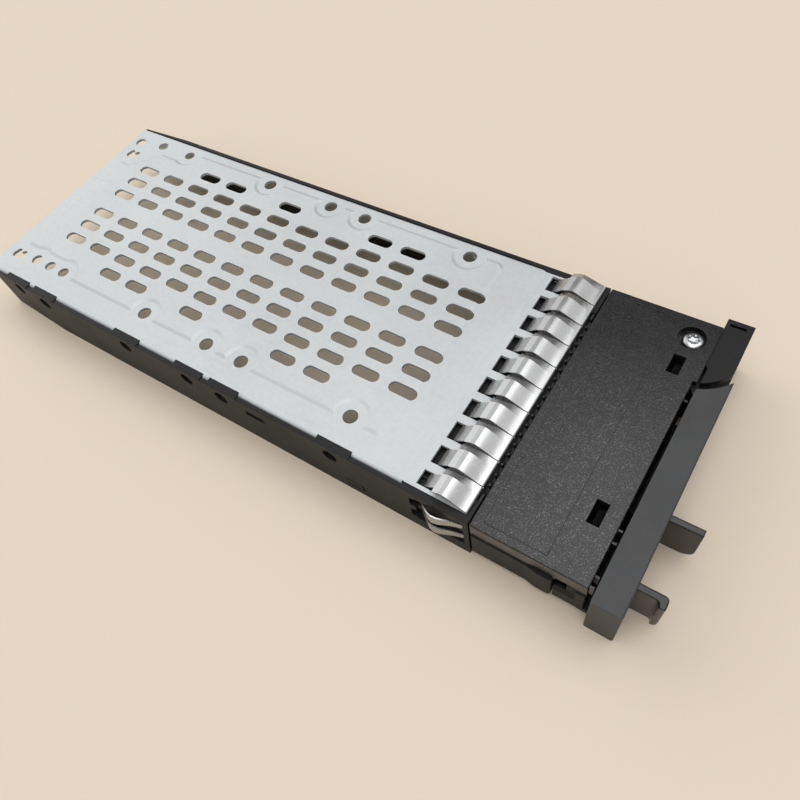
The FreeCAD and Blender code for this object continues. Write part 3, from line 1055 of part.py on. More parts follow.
def make_pivot_screw():
    """Pan head screw through the cover into the post that the handle turns on."""
    seat_z = HOUSING_TOP - SCREW_RECESS_DEPTH
    crown = 0.35
    profile = [
        Vector(0, 0, seat_z - SCREW_LENGTH), Vector(SCREW_SHANK_RADIUS - 0.4, 0, seat_z - SCREW_LENGTH),
        Vector(SCREW_SHANK_RADIUS - 0.15, 0, seat_z - SCREW_LENGTH + 0.8),
        Vector(SCREW_SHANK_RADIUS - 0.15, 0, seat_z), Vector(SCREW_HEAD_RADIUS, 0, seat_z),
        Vector(SCREW_HEAD_RADIUS, 0, seat_z + SCREW_HEAD_HEIGHT - crown * 2),
        Vector(SCREW_HEAD_RADIUS - 0.7, 0, seat_z + SCREW_HEAD_HEIGHT - crown / 2),
        Vector(0, 0, seat_z + SCREW_HEAD_HEIGHT),
    ]
    face = Part.Face(Part.makePolygon(profile + profile[:1]))
    screw = face.revolve(Vector(0, 0, 0), Vector(0, 0, 1), 360)
    screw.translate(Vector(PIVOT_X, PIVOT_Y, 0))
    top = seat_z + SCREW_HEAD_HEIGHT
    lobes = []
    for index in range(3):
        arm = block(-SCREW_DRIVE_RADIUS, SCREW_DRIVE_RADIUS, -0.32, 0.32, top - SCREW_DRIVE_DEPTH, top + 1)
        arm.rotate(Vector(0, 0, 0), Vector(0, 0, 1), 60 * index)
        arm.translate(Vector(PIVOT_X, PIVOT_Y, 0))
        lobes.append(arm)
    return screw.cut(lobes)


# ---------------------------------------------------------------- handle
def handle_plan(inset):
    """Wire in plan of the handle bar, its far end an arc round its own axis."""
    radius = HANDLE_ARC_RADIUS + inset
    x0, x1 = HANDLE_REAR + inset, HANDLE_FRONT - inset
    y0 = HANDLE_NEAR_Y + inset
    y_back = pivot_arc_y(radius, x0)
    y_front = pivot_arc_y(radius, x1)
    angle_back = -math.degrees(math.acos((x0 - PIVOT_X) / radius))
    angle_front = -math.degrees(math.acos((x1 - PIVOT_X) / radius))
    middle = polar((angle_back + angle_front) / 2, radius)
    return [
        Part.LineSegment(Vector(x0, y0, 0), Vector(x1, y0, 0)).toShape(),
        Part.LineSegment(Vector(x1, y0, 0), Vector(x1, y_front, 0)).toShape(),
        Part.Arc(Vector(x1, y_front, 0), Vector(middle[0], middle[1], 0), Vector(x0, y_back, 0)).toShape(),
        Part.LineSegment(Vector(x0, y_back, 0), Vector(x0, y0, 0)).toShape(),
    ]


def handle_arm():
    """Flat arm from the hub to the bar, narrowing a little outwards."""
    joint_x, joint_y = ARM_END_X, ARM_END_Y
    dx, dy = joint_x - PIVOT_X, joint_y - PIVOT_Y
    length = math.hypot(dx, dy)
    nx, ny = -dy / length, dx / length
    half = ARM_HALF_WIDTH
    outline = [
        (PIVOT_X + nx * half * 1.35, PIVOT_Y + ny * half * 1.35), (joint_x + nx * half, joint_y + ny * half),
        (joint_x - nx * half * 0.8, joint_y - ny * half * 0.8),
        (PIVOT_X - nx * half * 1.2, PIVOT_Y - ny * half * 1.2),
    ]
    return plan_prism(outline, HUB_Z0, HUB_Z1)


def cam_tooth():
    """Tooth of the hub that reaches out through the far side and grips the bay wall."""
    tip = polar(TOOTH_ANGLE, TOOTH_REACH)
    lead = polar(TOOTH_ANGLE + 14, TOOTH_REACH - 0.9)
    heel = polar(TOOTH_ANGLE - 9, TOOTH_REACH - 0.6)
    root_a = polar(TOOTH_ANGLE + 52, HUB_RADIUS - 0.2)
    root_b = polar(TOOTH_ANGLE - 40, HUB_RADIUS - 0.2)
    return plan_prism([(PIVOT_X, PIVOT_Y), root_b, heel, tip, lead, root_a], HUB_Z0, HUB_Z1)


def make_handle():
    """Hollow bar, open towards the housing, with arm, hub and cam tooth in one moulding."""
    bar = Part.Face(Part.Wire(handle_plan(0))).extrude(Vector(0, 0, HANDLE_TOP))
    outer_edges = edges_near(
        bar,
        lambda edge, middle: middle.x > HANDLE_FRONT - 0.01 and (middle.z < 0.01 or middle.z > HANDLE_TOP - 0.01)
        or (abs(middle.y - HANDLE_NEAR_Y) < 0.01 and 0.01 < middle.z < HANDLE_TOP - 0.01),
    )
    bar = bar.makeFillet(HANDLE_ROUND, outer_edges)
    cavity = block(HANDLE_REAR - 1, HANDLE_FRONT - HANDLE_WALL, HANDLE_NEAR_Y + HANDLE_WALL, SOLID_END_Y,
                   HANDLE_WALL, HANDLE_TOP - HANDLE_WALL)
    hub = upright(HUB_RADIUS, PIVOT_X, PIVOT_Y, HUB_Z0, HUB_Z1)
    cutters = [upright(POST_RADIUS + HUB_RUNNING_GAP, PIVOT_X, PIVOT_Y, 0, HANDLE_TOP)]
    for y in (TAB_FAR_Y, TAB_NEAR_Y):
        cutters.append(upright(TAB_PIN_RADIUS, TAB_PIVOT_X, y, HANDLE_WALL - TAB_PIN_SOCKET,
                               HANDLE_TOP - HANDLE_WALL + TAB_PIN_SOCKET))
    cutters.append(tab_window(TAB_FAR_Y, -1))
    cutters.append(tab_window(TAB_NEAR_Y, 1))
    for offset in (-GUIDE_SPACING / 2, GUIDE_SPACING / 2):
        cutters.append(lens_block(offset, 0.0, HANDLE_FRONT + 1))
    far_pocket = block(HANDLE_REAR - 1, HANDLE_FRONT - HANDLE_WALL, SOLID_END_Y, PIVOT_Y, HUB_Z1,
                       HANDLE_TOP - HANDLE_WALL)
    low_pocket = block(HANDLE_REAR - 1, HANDLE_FRONT - HANDLE_WALL, SOLID_END_Y, PIVOT_Y, HANDLE_WALL, HUB_Z0)
    end_wall = Part.Face(Part.Wire(handle_plan(HANDLE_WALL))).extrude(Vector(0, 0, HANDLE_TOP))
    bar = bar.cut([cavity, far_pocket.common(end_wall), low_pocket.common(end_wall)])
    return bar.fuse([handle_arm(), hub, cam_tooth()]).cut(cutters).removeSplitter()


def tab_window(y, toward):
    """Window in the front of the bar that lets a release tab swing towards the other one."""
    reach = HANDLE_FRONT - TAB_PIVOT_X
    swing = reach * math.tan(math.radians(TAB_SWING))
    still = TAB_THICKNESS / 2 + LATCH_GAP
    y0, y1 = sorted((y - toward * still, y + toward * (still + swing)))
    return block(HANDLE_FRONT - HANDLE_WALL - 0.5, HANDLE_FRONT + 0.5, y0, y1,
                 TAB_Z0 - LATCH_GAP, TAB_Z1 + LATCH_GAP)


def lens_block(offset, inset, x1):
    """Square bar on the line of a light guide."""
    y = GUIDE_Y + offset
    half_y = LENS_WIDTH / 2 - inset
    half_z = LENS_HEIGHT / 2 - inset
    return block(HANDLE_FRONT - HANDLE_WALL - 0.3, x1, y - half_y, y + half_y,
                 GUIDE_HIGH_Z - half_z, GUIDE_HIGH_Z + half_z)


def make_lenses():
    """Two small windows in the handle, in line with the light guides."""
    return Part.makeCompound([
        lens_block(offset, 0.0, HANDLE_FRONT - 0.05) for offset in (-GUIDE_SPACING / 2, GUIDE_SPACING / 2)
    ])


# ---------------------------------------------------------------- release tabs
def tab_blade(y, tip_x, curl):
    """Finger blade in plan; a curl other than 0 turns its tip towards -Y."""
    half = TAB_THICKNESS / 2
    near, far = y - half, y + half
    inner_x = tip_x - TAB_CURL_WALL
    if curl:
        plan = [(TAB_PIVOT_X, far), (tip_x, far), (tip_x, near - curl), (inner_x, near - curl),
                (inner_x, near), (TAB_PIVOT_X, near)]
    else:
        plan = [(TAB_PIVOT_X, far), (tip_x, far), (tip_x, near), (TAB_PIVOT_X, near)]
    blade = plan_prism(plan, TAB_Z0, TAB_Z1)

    def upright_at(shape, places):
        return edges_near(
            shape,
            lambda edge, middle: abs(edge.tangentAt(edge.FirstParameter).z) > 0.99
            and any(math.hypot(middle.x - x, middle.y - place_y) < 0.01 for x, place_y in places),
        )

    if curl:
        blade = blade.makeFillet(TAB_THICKNESS * 0.6, upright_at(blade, [(tip_x, far), (inner_x, near)]))
        blade = blade.makeFillet(TAB_CURL_WALL * 0.3, upright_at(blade, [(tip_x, near - curl), (inner_x, near - curl)]))
    return blade


def make_release_tab(y, outward, tip_x, curl):
    """Finger blade, hub and latch arm; outward is the side that the blade is squeezed from."""
    half = TAB_THICKNESS / 2
    profile = block(TAB_PIVOT_X, tip_x, y - 5, y + 5, TAB_Z0, TAB_Z1)
    corner = edges_near(
        profile,
        lambda edge, middle: middle.x > tip_x - 0.01 and middle.z < TAB_Z0 + 0.01,
    )
    profile = profile.makeFillet(TAB_CORNER, corner)
    blade = tab_blade(y, tip_x, curl).common(profile)
    rims = edges_near(blade, lambda edge, middle: middle.z > TAB_Z1 - 0.01 and middle.x > TAB_PIVOT_X + 0.01)
    blade = blade.makeFillet(TAB_EDGE, rims)
    hub = upright(TAB_HUB_RADIUS, TAB_PIVOT_X, y, LATCH_Z0 - TAB_HUB_PAST_LATCH, LATCH_Z1 + TAB_HUB_PAST_LATCH)
    toward = -outward
    arm = block(LATCH_TIP_X, TAB_PIVOT_X, y - half, y + half, LATCH_Z0, LATCH_Z1)
    barb_outline = [
        (LATCH_TIP_X, y), (LATCH_TIP_X, y + toward * half),
        (LATCH_TIP_X + LATCH_BARB_LENGTH * 0.6, y + toward * (half + LATCH_BARB)),
        (LATCH_TIP_X + LATCH_BARB_LENGTH, y + toward * (half + LATCH_BARB)),
        (LATCH_TIP_X + LATCH_BARB_LENGTH, y),
    ]
    barb = plan_prism(barb_outline, LATCH_Z0, LATCH_Z1)
    bore = upright(TAB_PIN_RADIUS + TAB_PIN_GAP, TAB_PIVOT_X, y, TAB_Z0 - 1, TAB_Z1 + 1)
    return blade.fuse([hub, arm, barb]).cut(bore).removeSplitter()


def make_tab_pin(y):
    """Steel pin of a release tab, its ends in sockets of the handle."""
    gap = 0.02
    return upright(TAB_PIN_RADIUS, TAB_PIVOT_X, y, HANDLE_WALL - TAB_PIN_SOCKET + gap,
                   HANDLE_TOP - HANDLE_WALL + TAB_PIN_SOCKET - gap)


def make_tab_spring():
    """Coil spring that pushes the two release tabs apart."""
    length = TAB_FAR_Y - TAB_NEAR_Y - TAB_THICKNESS - 0.1
    pitch = length / TAB_SPRING_TURNS
    helix = Part.makeHelix(pitch, length - TAB_SPRING_WIRE, TAB_SPRING_RADIUS)
    profile = Part.Wire(Part.makeCircle(TAB_SPRING_WIRE / 2, Vector(TAB_SPRING_RADIUS, 0, 0), Vector(0, 1, 0)))
    coil = Part.Wire(helix).makePipeShell([profile], True, True)
    coil.rotate(Vector(0, 0, 0), Vector(1, 0, 0), -90)
    y0 = TAB_NEAR_Y + TAB_THICKNESS / 2 + 0.05 + TAB_SPRING_WIRE / 2
    coil.translate(Vector(TAB_SPRING_X, y0, (TAB_Z0 + TAB_Z1) / 2))
    return coil


# ---------------------------------------------------------------- all nodes
def main():
    os.makedirs("parts", exist_ok=True)
    export("tray_plate", make_tray())
    export("contact_finger_strip", make_finger_strip())
    export("rail_frame", make_frame())
    export("bulkhead_screws", make_bulkhead_screws())
    export("side_clip_near", make_side_clip(RAIL_NEAR, 1))
    export("side_clip_far", make_side_clip(RAIL_FAR, -1))
    export("air_screen", make_air_screen())
    export("light_guide_fault", make_light_guide(-GUIDE_SPACING / 2))
    export("light_guide_activity", make_light_guide(GUIDE_SPACING / 2))
    export("front_cover", make_cover())
    export("front_base", make_base())
    export("pivot_screw", make_pivot_screw())
    export("handle_lever", make_handle())
    export("indicator_lenses", make_lenses())
    export("release_tab_far", make_release_tab(TAB_FAR_Y, 1, TAB_TIP_X, 0.0))
    export("release_tab_near", make_release_tab(TAB_NEAR_Y, -1, TAB_TIP_X - TAB_NEAR_SHORTER, TAB_CURL))
    export("tab_pin_far", make_tab_pin(TAB_FAR_Y))
    export("tab_pin_near", make_tab_pin(TAB_NEAR_Y))
    export("tab_spring", make_tab_spring())


if __name__ == "__main__":
    main()
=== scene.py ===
"""Looks of the hot swap drive carrier: finishes, small formed pieces, studio and camera.

The file is laid out as an add-on. It is run as a script: main() registers the classes and
calls the operators in order.
"""
import math

import bpy
import numpy as np
from mathutils import Euler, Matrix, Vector


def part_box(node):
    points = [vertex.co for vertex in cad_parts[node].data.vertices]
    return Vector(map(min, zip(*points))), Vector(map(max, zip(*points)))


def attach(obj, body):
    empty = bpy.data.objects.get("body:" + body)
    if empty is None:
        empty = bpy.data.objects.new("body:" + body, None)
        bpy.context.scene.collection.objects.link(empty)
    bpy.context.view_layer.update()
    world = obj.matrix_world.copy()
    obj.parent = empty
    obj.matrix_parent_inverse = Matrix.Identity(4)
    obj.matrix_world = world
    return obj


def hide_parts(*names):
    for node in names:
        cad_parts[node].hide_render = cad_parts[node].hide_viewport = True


bl_info = {
    "name": "Drive carrier looks",
    "version": (1, 0, 0),
    "blender": (4, 5, 0),
    "location": "3D View > Sidebar > Carrier",
    "description": "Finishes, formed pieces and studio of a hot swap drive carrier",
    "category": "Object",
}

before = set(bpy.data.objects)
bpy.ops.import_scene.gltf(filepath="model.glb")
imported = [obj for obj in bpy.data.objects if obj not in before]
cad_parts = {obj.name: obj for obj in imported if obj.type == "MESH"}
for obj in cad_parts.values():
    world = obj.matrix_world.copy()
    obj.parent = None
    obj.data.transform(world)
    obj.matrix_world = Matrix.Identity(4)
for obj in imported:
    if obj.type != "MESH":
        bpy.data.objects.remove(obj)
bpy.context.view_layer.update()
MM = 0.001

SPECK_BRIGHTNESS = 0.1    # reflectance that the mineral specks add to a black plastic
PAINTED_SHADE_BRIGHTNESS = 0.0015    # painted shade: reflectance given to the housing's inside, where shade falls
COOL, WARM_REFLECTED_TINT = (0.97, 0.98, 1.0), (1.0, 0.96, 0.9)    # tints of the plastics; the warm one on the rails and base is painted reflection of the warm floor

# Millimetres.
MOULDED_EDGE, TAB_EDGE = 0.16, 0.25    # radii of the eased edges
HOUSING_INSIDE = (11.64, 96.8)    # the housing's inside lies above this z and at a smaller x than this; shade is painted there
LATCH_ENDS = (99.6, 98.8)    # x between which a tab's gloss gives way to its dull latch end, which is also darkened as painted shade in the gap behind the handle
SCREW_HEAD = 1.44    # height of the handle's screw head

LOBES = 6
SHARP_EDGE = 38.0    # degrees between faces, above which an edge of the screw stays sharp

# Each light of the surroundings: the direction of its middle, then the angles from there at
# which it ends and at which it is full, in degrees.
CEILING = ((0.15, 0.05, 1.0), 46.0, 28.0)
REAR = ((-0.85, 0.22, 0.5), 40.0, 14.0)
NEAR = ((0.1, -1.0, 0.35), 35.0, 12.0)
FAR = ((0.52, 0.55, 0.65), 25.0, 8.0)
# Straight edges of the ceiling light: a component of the direction, where it ends, where it is full.
CEILING_EDGES = (("Y", 0.61, 0.54), ("X", -0.42, -0.16), ("X", 0.55, 0.3))


# ---------------------------------------------------------------- node helpers
def add(tree, kind, sockets=None, **settings):
    """New node; sockets maps an input's name to a number, a colour or another node's output."""
    made = tree.nodes.new(kind)
    for name, value in settings.items():
        setattr(made, name, value)
    for name, value in (sockets or {}).items():
        if isinstance(value, bpy.types.NodeSocket):
            tree.links.new(value, made.inputs[name])
        else:
            made.inputs[name].default_value = value
    return made


def grey(level, tint=(1.0, 1.0, 1.0)):
    """Colour of one brightness, with a slight tint."""
    return tuple(level * part for part in tint) + (1.0,)


def object_points(tree, scale=(1.0, 1.0, 1.0)):
    """The object's own coordinates, stretched by a scale per axis."""
    points = add(tree, "ShaderNodeTexCoord").outputs["Object"]
    return add(tree, "ShaderNodeMapping", {"Vector": points, "Scale": scale}).outputs["Vector"]


def noise(tree, points, feature_mm, detail=2.0, roughness=0.5):
    """Cloudy noise from 0 to 1 whose blots are about feature_mm across."""
    sockets = {"Vector": points, "Scale": 1.0 / (feature_mm * MM), "Detail": detail, "Roughness": roughness}
    return add(tree, "ShaderNodeTexNoise", sockets).outputs["Fac"]


def spread(tree, value, low, high, to_low=0.0, to_high=1.0):
    """Maps low..high of a value to another range, clamped."""
    sockets = {"Value": value, "From Min": low, "From Max": high, "To Min": to_low, "To Max": to_high}
    return add(tree, "ShaderNodeMapRange", sockets).outputs["Result"]


def blend_colour(tree, factor, first, second):
    """Colour between two, by a factor."""
    return add(tree, "ShaderNodeMixRGB", {"Fac": factor, "Color1": first, "Color2": second}).outputs["Color"]


def arithmetic(tree, operation, first, second):
    """One of Blender's maths operations on two values."""
    made = add(tree, "ShaderNodeMath", operation=operation)
    for socket, value in zip(made.inputs, (first, second)):
        if isinstance(value, bpy.types.NodeSocket):
            tree.links.new(value, socket)
        else:
            socket.default_value = value
    return made.outputs["Value"]


def total(tree, first, second):
    """Sum of two values."""
    return arithmetic(tree, "ADD", first, second)


def product(tree, first, second):
    """Product of two values."""
    return arithmetic(tree, "MULTIPLY", first, second)


def bump(tree, height, depth_mm, strength=1.0, under=None):
    """Surface relief of a depth in millimetres."""
    sockets = {"Height": height, "Distance": depth_mm * MM, "Strength": strength}
    if under is not None:
        sockets["Normal"] = under
    return add(tree, "ShaderNodeBump", sockets).outputs["Normal"]


def eased_edges(tree, radius_mm):
    """Surface direction with the moulded edges eased by a small radius."""
    return add(tree, "ShaderNodeBevel", {"Radius": radius_mm * MM}, samples=6).outputs["Normal"]


def new_material(name):
    """Material with one Principled shader; returns it with its tree and shader."""
    material = bpy.data.materials.new(name)
    material.use_nodes = True
    tree = material.node_tree
    return material, tree, tree.nodes["Principled BSDF"]


def plug(tree, shader, **sockets):
    """Sets or links sockets of the shader; underscores stand for spaces."""
    for name, value in sockets.items():
        socket = shader.inputs[name.replace("_", " ")]
        if isinstance(value, bpy.types.NodeSocket):
            tree.links.new(value, socket)
        else:
            socket.default_value = value


def dress(node, material):
    """Gives a CAD node or a new piece its material."""
    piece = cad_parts[node] if isinstance(node, str) else node
    piece.data.materials.clear()
    piece.data.materials.append(material)


# ---------------------------------------------------------------- finishes
def zinc_sheet(settings):
    """Zinc-coated steel sheet: matt cloudy grey, rolling lines along X, a few rub marks."""
    material, tree, shader = new_material("zinc_sheet")
    plain = object_points(tree)
    clouds = noise(tree, plain, 30.0, 3.0, 0.55)
    mottle = noise(tree, plain, 1.4, 2.0, 0.6)
    rolling = noise(tree, object_points(tree, (0.03, 1.0, 1.0)), 0.5, 2.0, 0.6)
    rubs = spread(tree, noise(tree, object_points(tree, (0.25, 1.6, 1.0)), 5.0, 5.0, 0.7), 0.6, 0.74)
    tone = total(tree, product(tree, clouds, 0.6), product(tree, mottle, 0.4))
    bright = settings.sheet_brightness
    light, dark = grey(bright, (0.97, 1.0, 1.0)), grey(bright * 0.88, (0.96, 1.0, 1.0))
    colour = blend_colour(tree, spread(tree, tone, 0.35, 0.65), dark, light)
    worn = blend_colour(tree, product(tree, rubs, 0.3), colour, grey(bright * 0.72))
    rough = total(tree, spread(tree, tone, 0.3, 0.7, 0.4, 0.52), product(tree, rolling, 0.06))
    relief = bump(tree, total(tree, rolling, mottle), 0.012, 0.5)
    plug(tree, shader, Base_Color=worn, Metallic=0.35, Roughness=rough, Normal=relief)
    return material


def spring_steel(settings):
    """Bright formed spring steel with hazy patches and fine drawing lines."""
    material, tree, shader = new_material("spring_steel")
    plain = object_points(tree)
    haze = noise(tree, plain, 5.0, 3.0, 0.55)
    lines = noise(tree, object_points(tree, (1.0, 0.06, 1.0)), 0.25, 2.0, 0.6)
    bright, tint = settings.spring_brightness, (1.0, 1.0, 0.99)
    colour = blend_colour(tree, spread(tree, haze, 0.3, 0.7), grey(bright * 0.9, tint), grey(bright, tint))
    rough = total(tree, spread(tree, haze, 0.35, 0.7, 0.2, 0.3), product(tree, lines, 0.04))
    plug(tree, shader, Base_Color=colour, Metallic=0.95, Roughness=rough, Normal=bump(tree, lines, 0.003, 0.5))
    return material


def plated_steel(name, brightness, roughness):
    """Zinc-plated steel of the screws, pins and coil spring, lightly scratched."""
    material, tree, shader = new_material(name)
    marks = noise(tree, object_points(tree), 0.5, 3.0, 0.7)
    colour = blend_colour(tree, marks, grey(brightness * 0.8), grey(brightness * 1.1))
    rough = spread(tree, marks, 0.3, 0.7, roughness - 0.08, roughness + 0.1)
    plug(tree, shader, Base_Color=colour, Metallic=1.0, Roughness=rough, Normal=bump(tree, marks, 0.01, 0.4))
    return material


def black_plastic(name, brightness, grain_mm, depth_mm, roughness, speckle, dust, index,
                  tint=(1.0, 0.98, 0.98), inside=None):
    """Black moulded plastic: spark-eroded grain, mineral specks that catch the light, and a trace of dust.

    inside, as (lowest z, highest x) in millimetres, marks the housing's interior, which gets painted shade (a
    near-black colour) and a duller finish.
    """
    material, tree, shader = new_material(name)
    plain = object_points(tree)
    grain = noise(tree, plain, grain_mm, 3.0, 0.7)
    coarse = noise(tree, plain, grain_mm * 4.0, 2.0, 0.6)
    clouds = noise(tree, plain, 16.0, 3.0, 0.55)
    tops = product(tree, spread(tree, grain, 0.4, 0.62), spread(tree, coarse, 0.3, 0.62, 0.7, 1.0))
    glint = product(tree, tops, speckle)
    dark, pale = grey(brightness * 0.75, tint), grey(brightness * 1.25, tint)
    body = blend_colour(tree, spread(tree, clouds, 0.35, 0.65), dark, pale)
    spotted = blend_colour(tree, product(tree, glint, glint), body, grey(SPECK_BRIGHTNESS + brightness, tint))
    dusty = product(tree, spread(tree, noise(tree, plain, 0.9, 4.0, 0.8), 0.64, 0.74), dust)
    colour = blend_colour(tree, dusty, spotted, grey(0.2, (1.0, 0.97, 0.92)))
    rough = spread(tree, clouds, 0.3, 0.7, roughness - 0.05, roughness + 0.05)
    if inside is not None:
        lowest_z, highest_x = inside
        place = add(tree, "ShaderNodeSeparateXYZ", {"Vector": plain})
        over = spread(tree, place.outputs["Z"], lowest_z * MM, (lowest_z + 0.1) * MM)
        behind = spread(tree, place.outputs["X"], highest_x * MM, (highest_x - 0.1) * MM)
        painted_shade_mask = product(tree, over, behind)
        # painted shade: inside the housing the colour is darkened to near black where shade falls
        colour = blend_colour(tree, painted_shade_mask, colour, grey(PAINTED_SHADE_BRIGHTNESS))
        rough = total(tree, rough, product(tree, painted_shade_mask, 0.5))
    relief = bump(tree, grain, depth_mm, 0.9, eased_edges(tree, MOULDED_EDGE))
    plug(tree, shader, Base_Color=colour, Metallic=glint, Roughness=rough, Normal=relief, IOR=index)
    return material


def glossy_black():
    """Polished black plastic of the finger tabs: hairline marks, smudges, an olive tint that is painted
    reflection of the tan floor, and dull latch ends darkened with painted shade.
    """
    material, tree, shader = new_material("glossy_black")
    plain = object_points(tree)
    smudges = noise(tree, plain, 5.0, 3.0, 0.6)
    hairs = noise(tree, object_points(tree, (0.15, 1.0, 1.0)), 0.3, 2.0, 0.7)
    # painted reflection: the olive tint stands in for the tan floor reflected in the glossy black
    tint = (1.0, 0.92, 0.7)
    across = add(tree, "ShaderNodeSeparateXYZ", {"Vector": plain}).outputs["X"]
    latch = spread(tree, across, LATCH_ENDS[0] * MM, LATCH_ENDS[1] * MM)
    outer = blend_colour(tree, spread(tree, smudges, 0.45, 0.75), grey(0.004, tint), grey(0.009, tint))
    # painted shade: the latch ends in the gap behind the handle get a darker colour
    colour = blend_colour(tree, latch, outer, grey(0.002))
    gloss = total(tree, spread(tree, smudges, 0.4, 0.7, 0.1, 0.2), product(tree, hairs, 0.05))
    rough = total(tree, gloss, product(tree, latch, 0.7))
    relief = bump(tree, smudges, 0.02, 0.3, eased_edges(tree, TAB_EDGE))
    plug(tree, shader, Base_Color=colour, Roughness=rough, IOR=1.45, Normal=relief)
    return material


def clear_plastic():
    """Clear polycarbonate of the light guides."""
    material, tree, shader = new_material("clear_plastic")
    streaks = noise(tree, object_points(tree, (0.1, 1.0, 1.0)), 0.8, 2.0, 0.5)
    colour = blend_colour(tree, streaks, grey(0.8, (0.96, 1.0, 1.0)), grey(0.95, (0.98, 1.0, 1.0)))
    rough = spread(tree, streaks, 0.3, 0.7, 0.08, 0.2)
    plug(tree, shader, Base_Color=colour, Transmission_Weight=0.85, Roughness=rough, IOR=1.58)
    return material


def screen_paint():
    """Black painted perforated sheet."""
    material, tree, shader = new_material("screen_paint")
    fleck = noise(tree, object_points(tree), 0.6, 3.0, 0.7)
    colour = blend_colour(tree, fleck, grey(0.006), grey(0.018))
    rough = spread(tree, fleck, 0.3, 0.7, 0.45, 0.6)
    plug(tree, shader, Base_Color=colour, Roughness=rough, Normal=bump(tree, fleck, 0.01, 0.5))
    return material


# ---------------------------------------------------------------- formed pieces
def make_turned(name, axis_x, axis_y, rings, steps=96):
    """Closed turned form with lobes, about a vertical axis.

    Each ring is (radius, height, lobe). A point at angle t on it lies at
    radius * (1 + lobe * cos(LOBES * t)) from the axis. The first and last rings are closed by one
    point on the axis at their own height. Millimetres; the rings go from the bottom outside
    round to the top inside.
    """
    turn = np.linspace(0.0, 2.0 * math.pi, steps, endpoint=False)
    radius, height, lobe = (np.array(column, float)[:, None] for column in zip(*rings))
    reach = radius * (1.0 + lobe * np.cos(LOBES * turn))
    across, along = axis_x + reach * np.cos(turn), axis_y + reach * np.sin(turn)
    grid = np.stack([across, along, np.broadcast_to(height, reach.shape)], axis=-1)
    poles = np.array([[axis_x, axis_y, rings[0][1]], [axis_x, axis_y, rings[-1][1]]])
    points = np.concatenate([grid.reshape(-1, 3), poles]) * MM
    ring = np.arange(len(rings) - 1)[:, None] * steps
    here, ahead = np.arange(steps), (np.arange(steps) + 1) % steps
    quads = np.stack([ring + here, ring + ahead, ring + steps + ahead, ring + steps + here], axis=-1)
    quads = quads.reshape(-1, 4)
    top, count = (len(rings) - 1) * steps, len(rings) * steps
    faces = quads.tolist()
    faces += [(int(b), int(a), count) for a, b in zip(here, ahead)]
    faces += [(int(top + a), int(top + b), count + 1) for a, b in zip(here, ahead)]
    mesh = bpy.data.meshes.new(name)
    mesh.from_pydata(points.tolist(), [], faces)
    mesh.shade_smooth()
    mesh.set_sharp_from_angle(angle=math.radians(SHARP_EDGE))
    mesh.update()
    piece = bpy.data.objects.new(name, mesh)
    bpy.context.scene.collection.objects.link(piece)
    return piece


def make_lobed_screw(settings):
    """Pan-head screw with a six-lobe drive recess, in the middle of the CAD screw's box."""
    low, high = (corner * 1000.0 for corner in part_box("pivot_screw"))
    axis_x, axis_y = (low.x + high.x) / 2, (low.y + high.y) / 2
    head, drive, top = settings.screw_head_radius / MM, settings.screw_drive_radius / MM, high.z
    seat = top - SCREW_HEAD
    rings = [
        (1.1, low.z, 0.0), (1.25, low.z + 0.2, 0.0), (1.25, seat, 0.0), (head - 0.15, seat, 0.0),
        (head, seat + 0.12, 0.0), (head, seat + 0.55, 0.0), (head - 0.12, seat + 0.86, 0.0),
        (head - 0.36, seat + 1.14, 0.0), (head - 0.72, seat + 1.33, 0.0), (head - 1.0, top - 0.03, 0.02),
        (drive + 0.1, top, 0.12), (drive, top - 0.09, 0.16), (drive - 0.06, top - 0.75, 0.16),
        (drive * 0.5, top - 0.92, 0.05), (0.12, top - 1.0, 0.0),
    ]
    return make_turned("pivot_screw_lobed", axis_x, axis_y, rings)


# ---------------------------------------------------------------- settings
class CarrierMetalSettings(bpy.types.PropertyGroup):
    """Finishes of the sheet metal, springs and screws, and the sizes of the handle's screw."""
    sheet_brightness: bpy.props.FloatProperty(
        name="Sheet brightness", description="Reflectance of the zinc-coated tray",
        default=0.59, min=0.1, max=1.0)
    spring_brightness: bpy.props.FloatProperty(
        name="Spring brightness", description="Reflectance of the contact springs",
        default=0.48, min=0.1, max=1.0)
    screw_brightness: bpy.props.FloatProperty(
        name="Screw brightness", description="Reflectance of the plated screws",
        default=0.5, min=0.1, max=1.0)
    screw_head_radius: bpy.props.FloatProperty(
        name="Screw head radius", description="Radius of the handle's screw head",
        default=0.0028, unit="LENGTH")
    screw_drive_radius: bpy.props.FloatProperty(
        name="Drive radius", description="Radius of the six-lobe recess", default=0.00135, unit="LENGTH")


class CarrierPlasticSettings(bpy.types.PropertyGroup):
    """Finishes of the mouldings."""
    cover_brightness: bpy.props.FloatProperty(
        name="Cover brightness", description="Reflectance of the grained front housing",
        default=0.0025, min=0.0, max=0.5)
    rail_brightness: bpy.props.FloatProperty(
        name="Rail brightness", description="Reflectance of the rails", default=0.0025, min=0.0, max=0.5)
    handle_brightness: bpy.props.FloatProperty(
        name="Handle brightness", description="Reflectance of the handle", default=0.034, min=0.0, max=0.5)


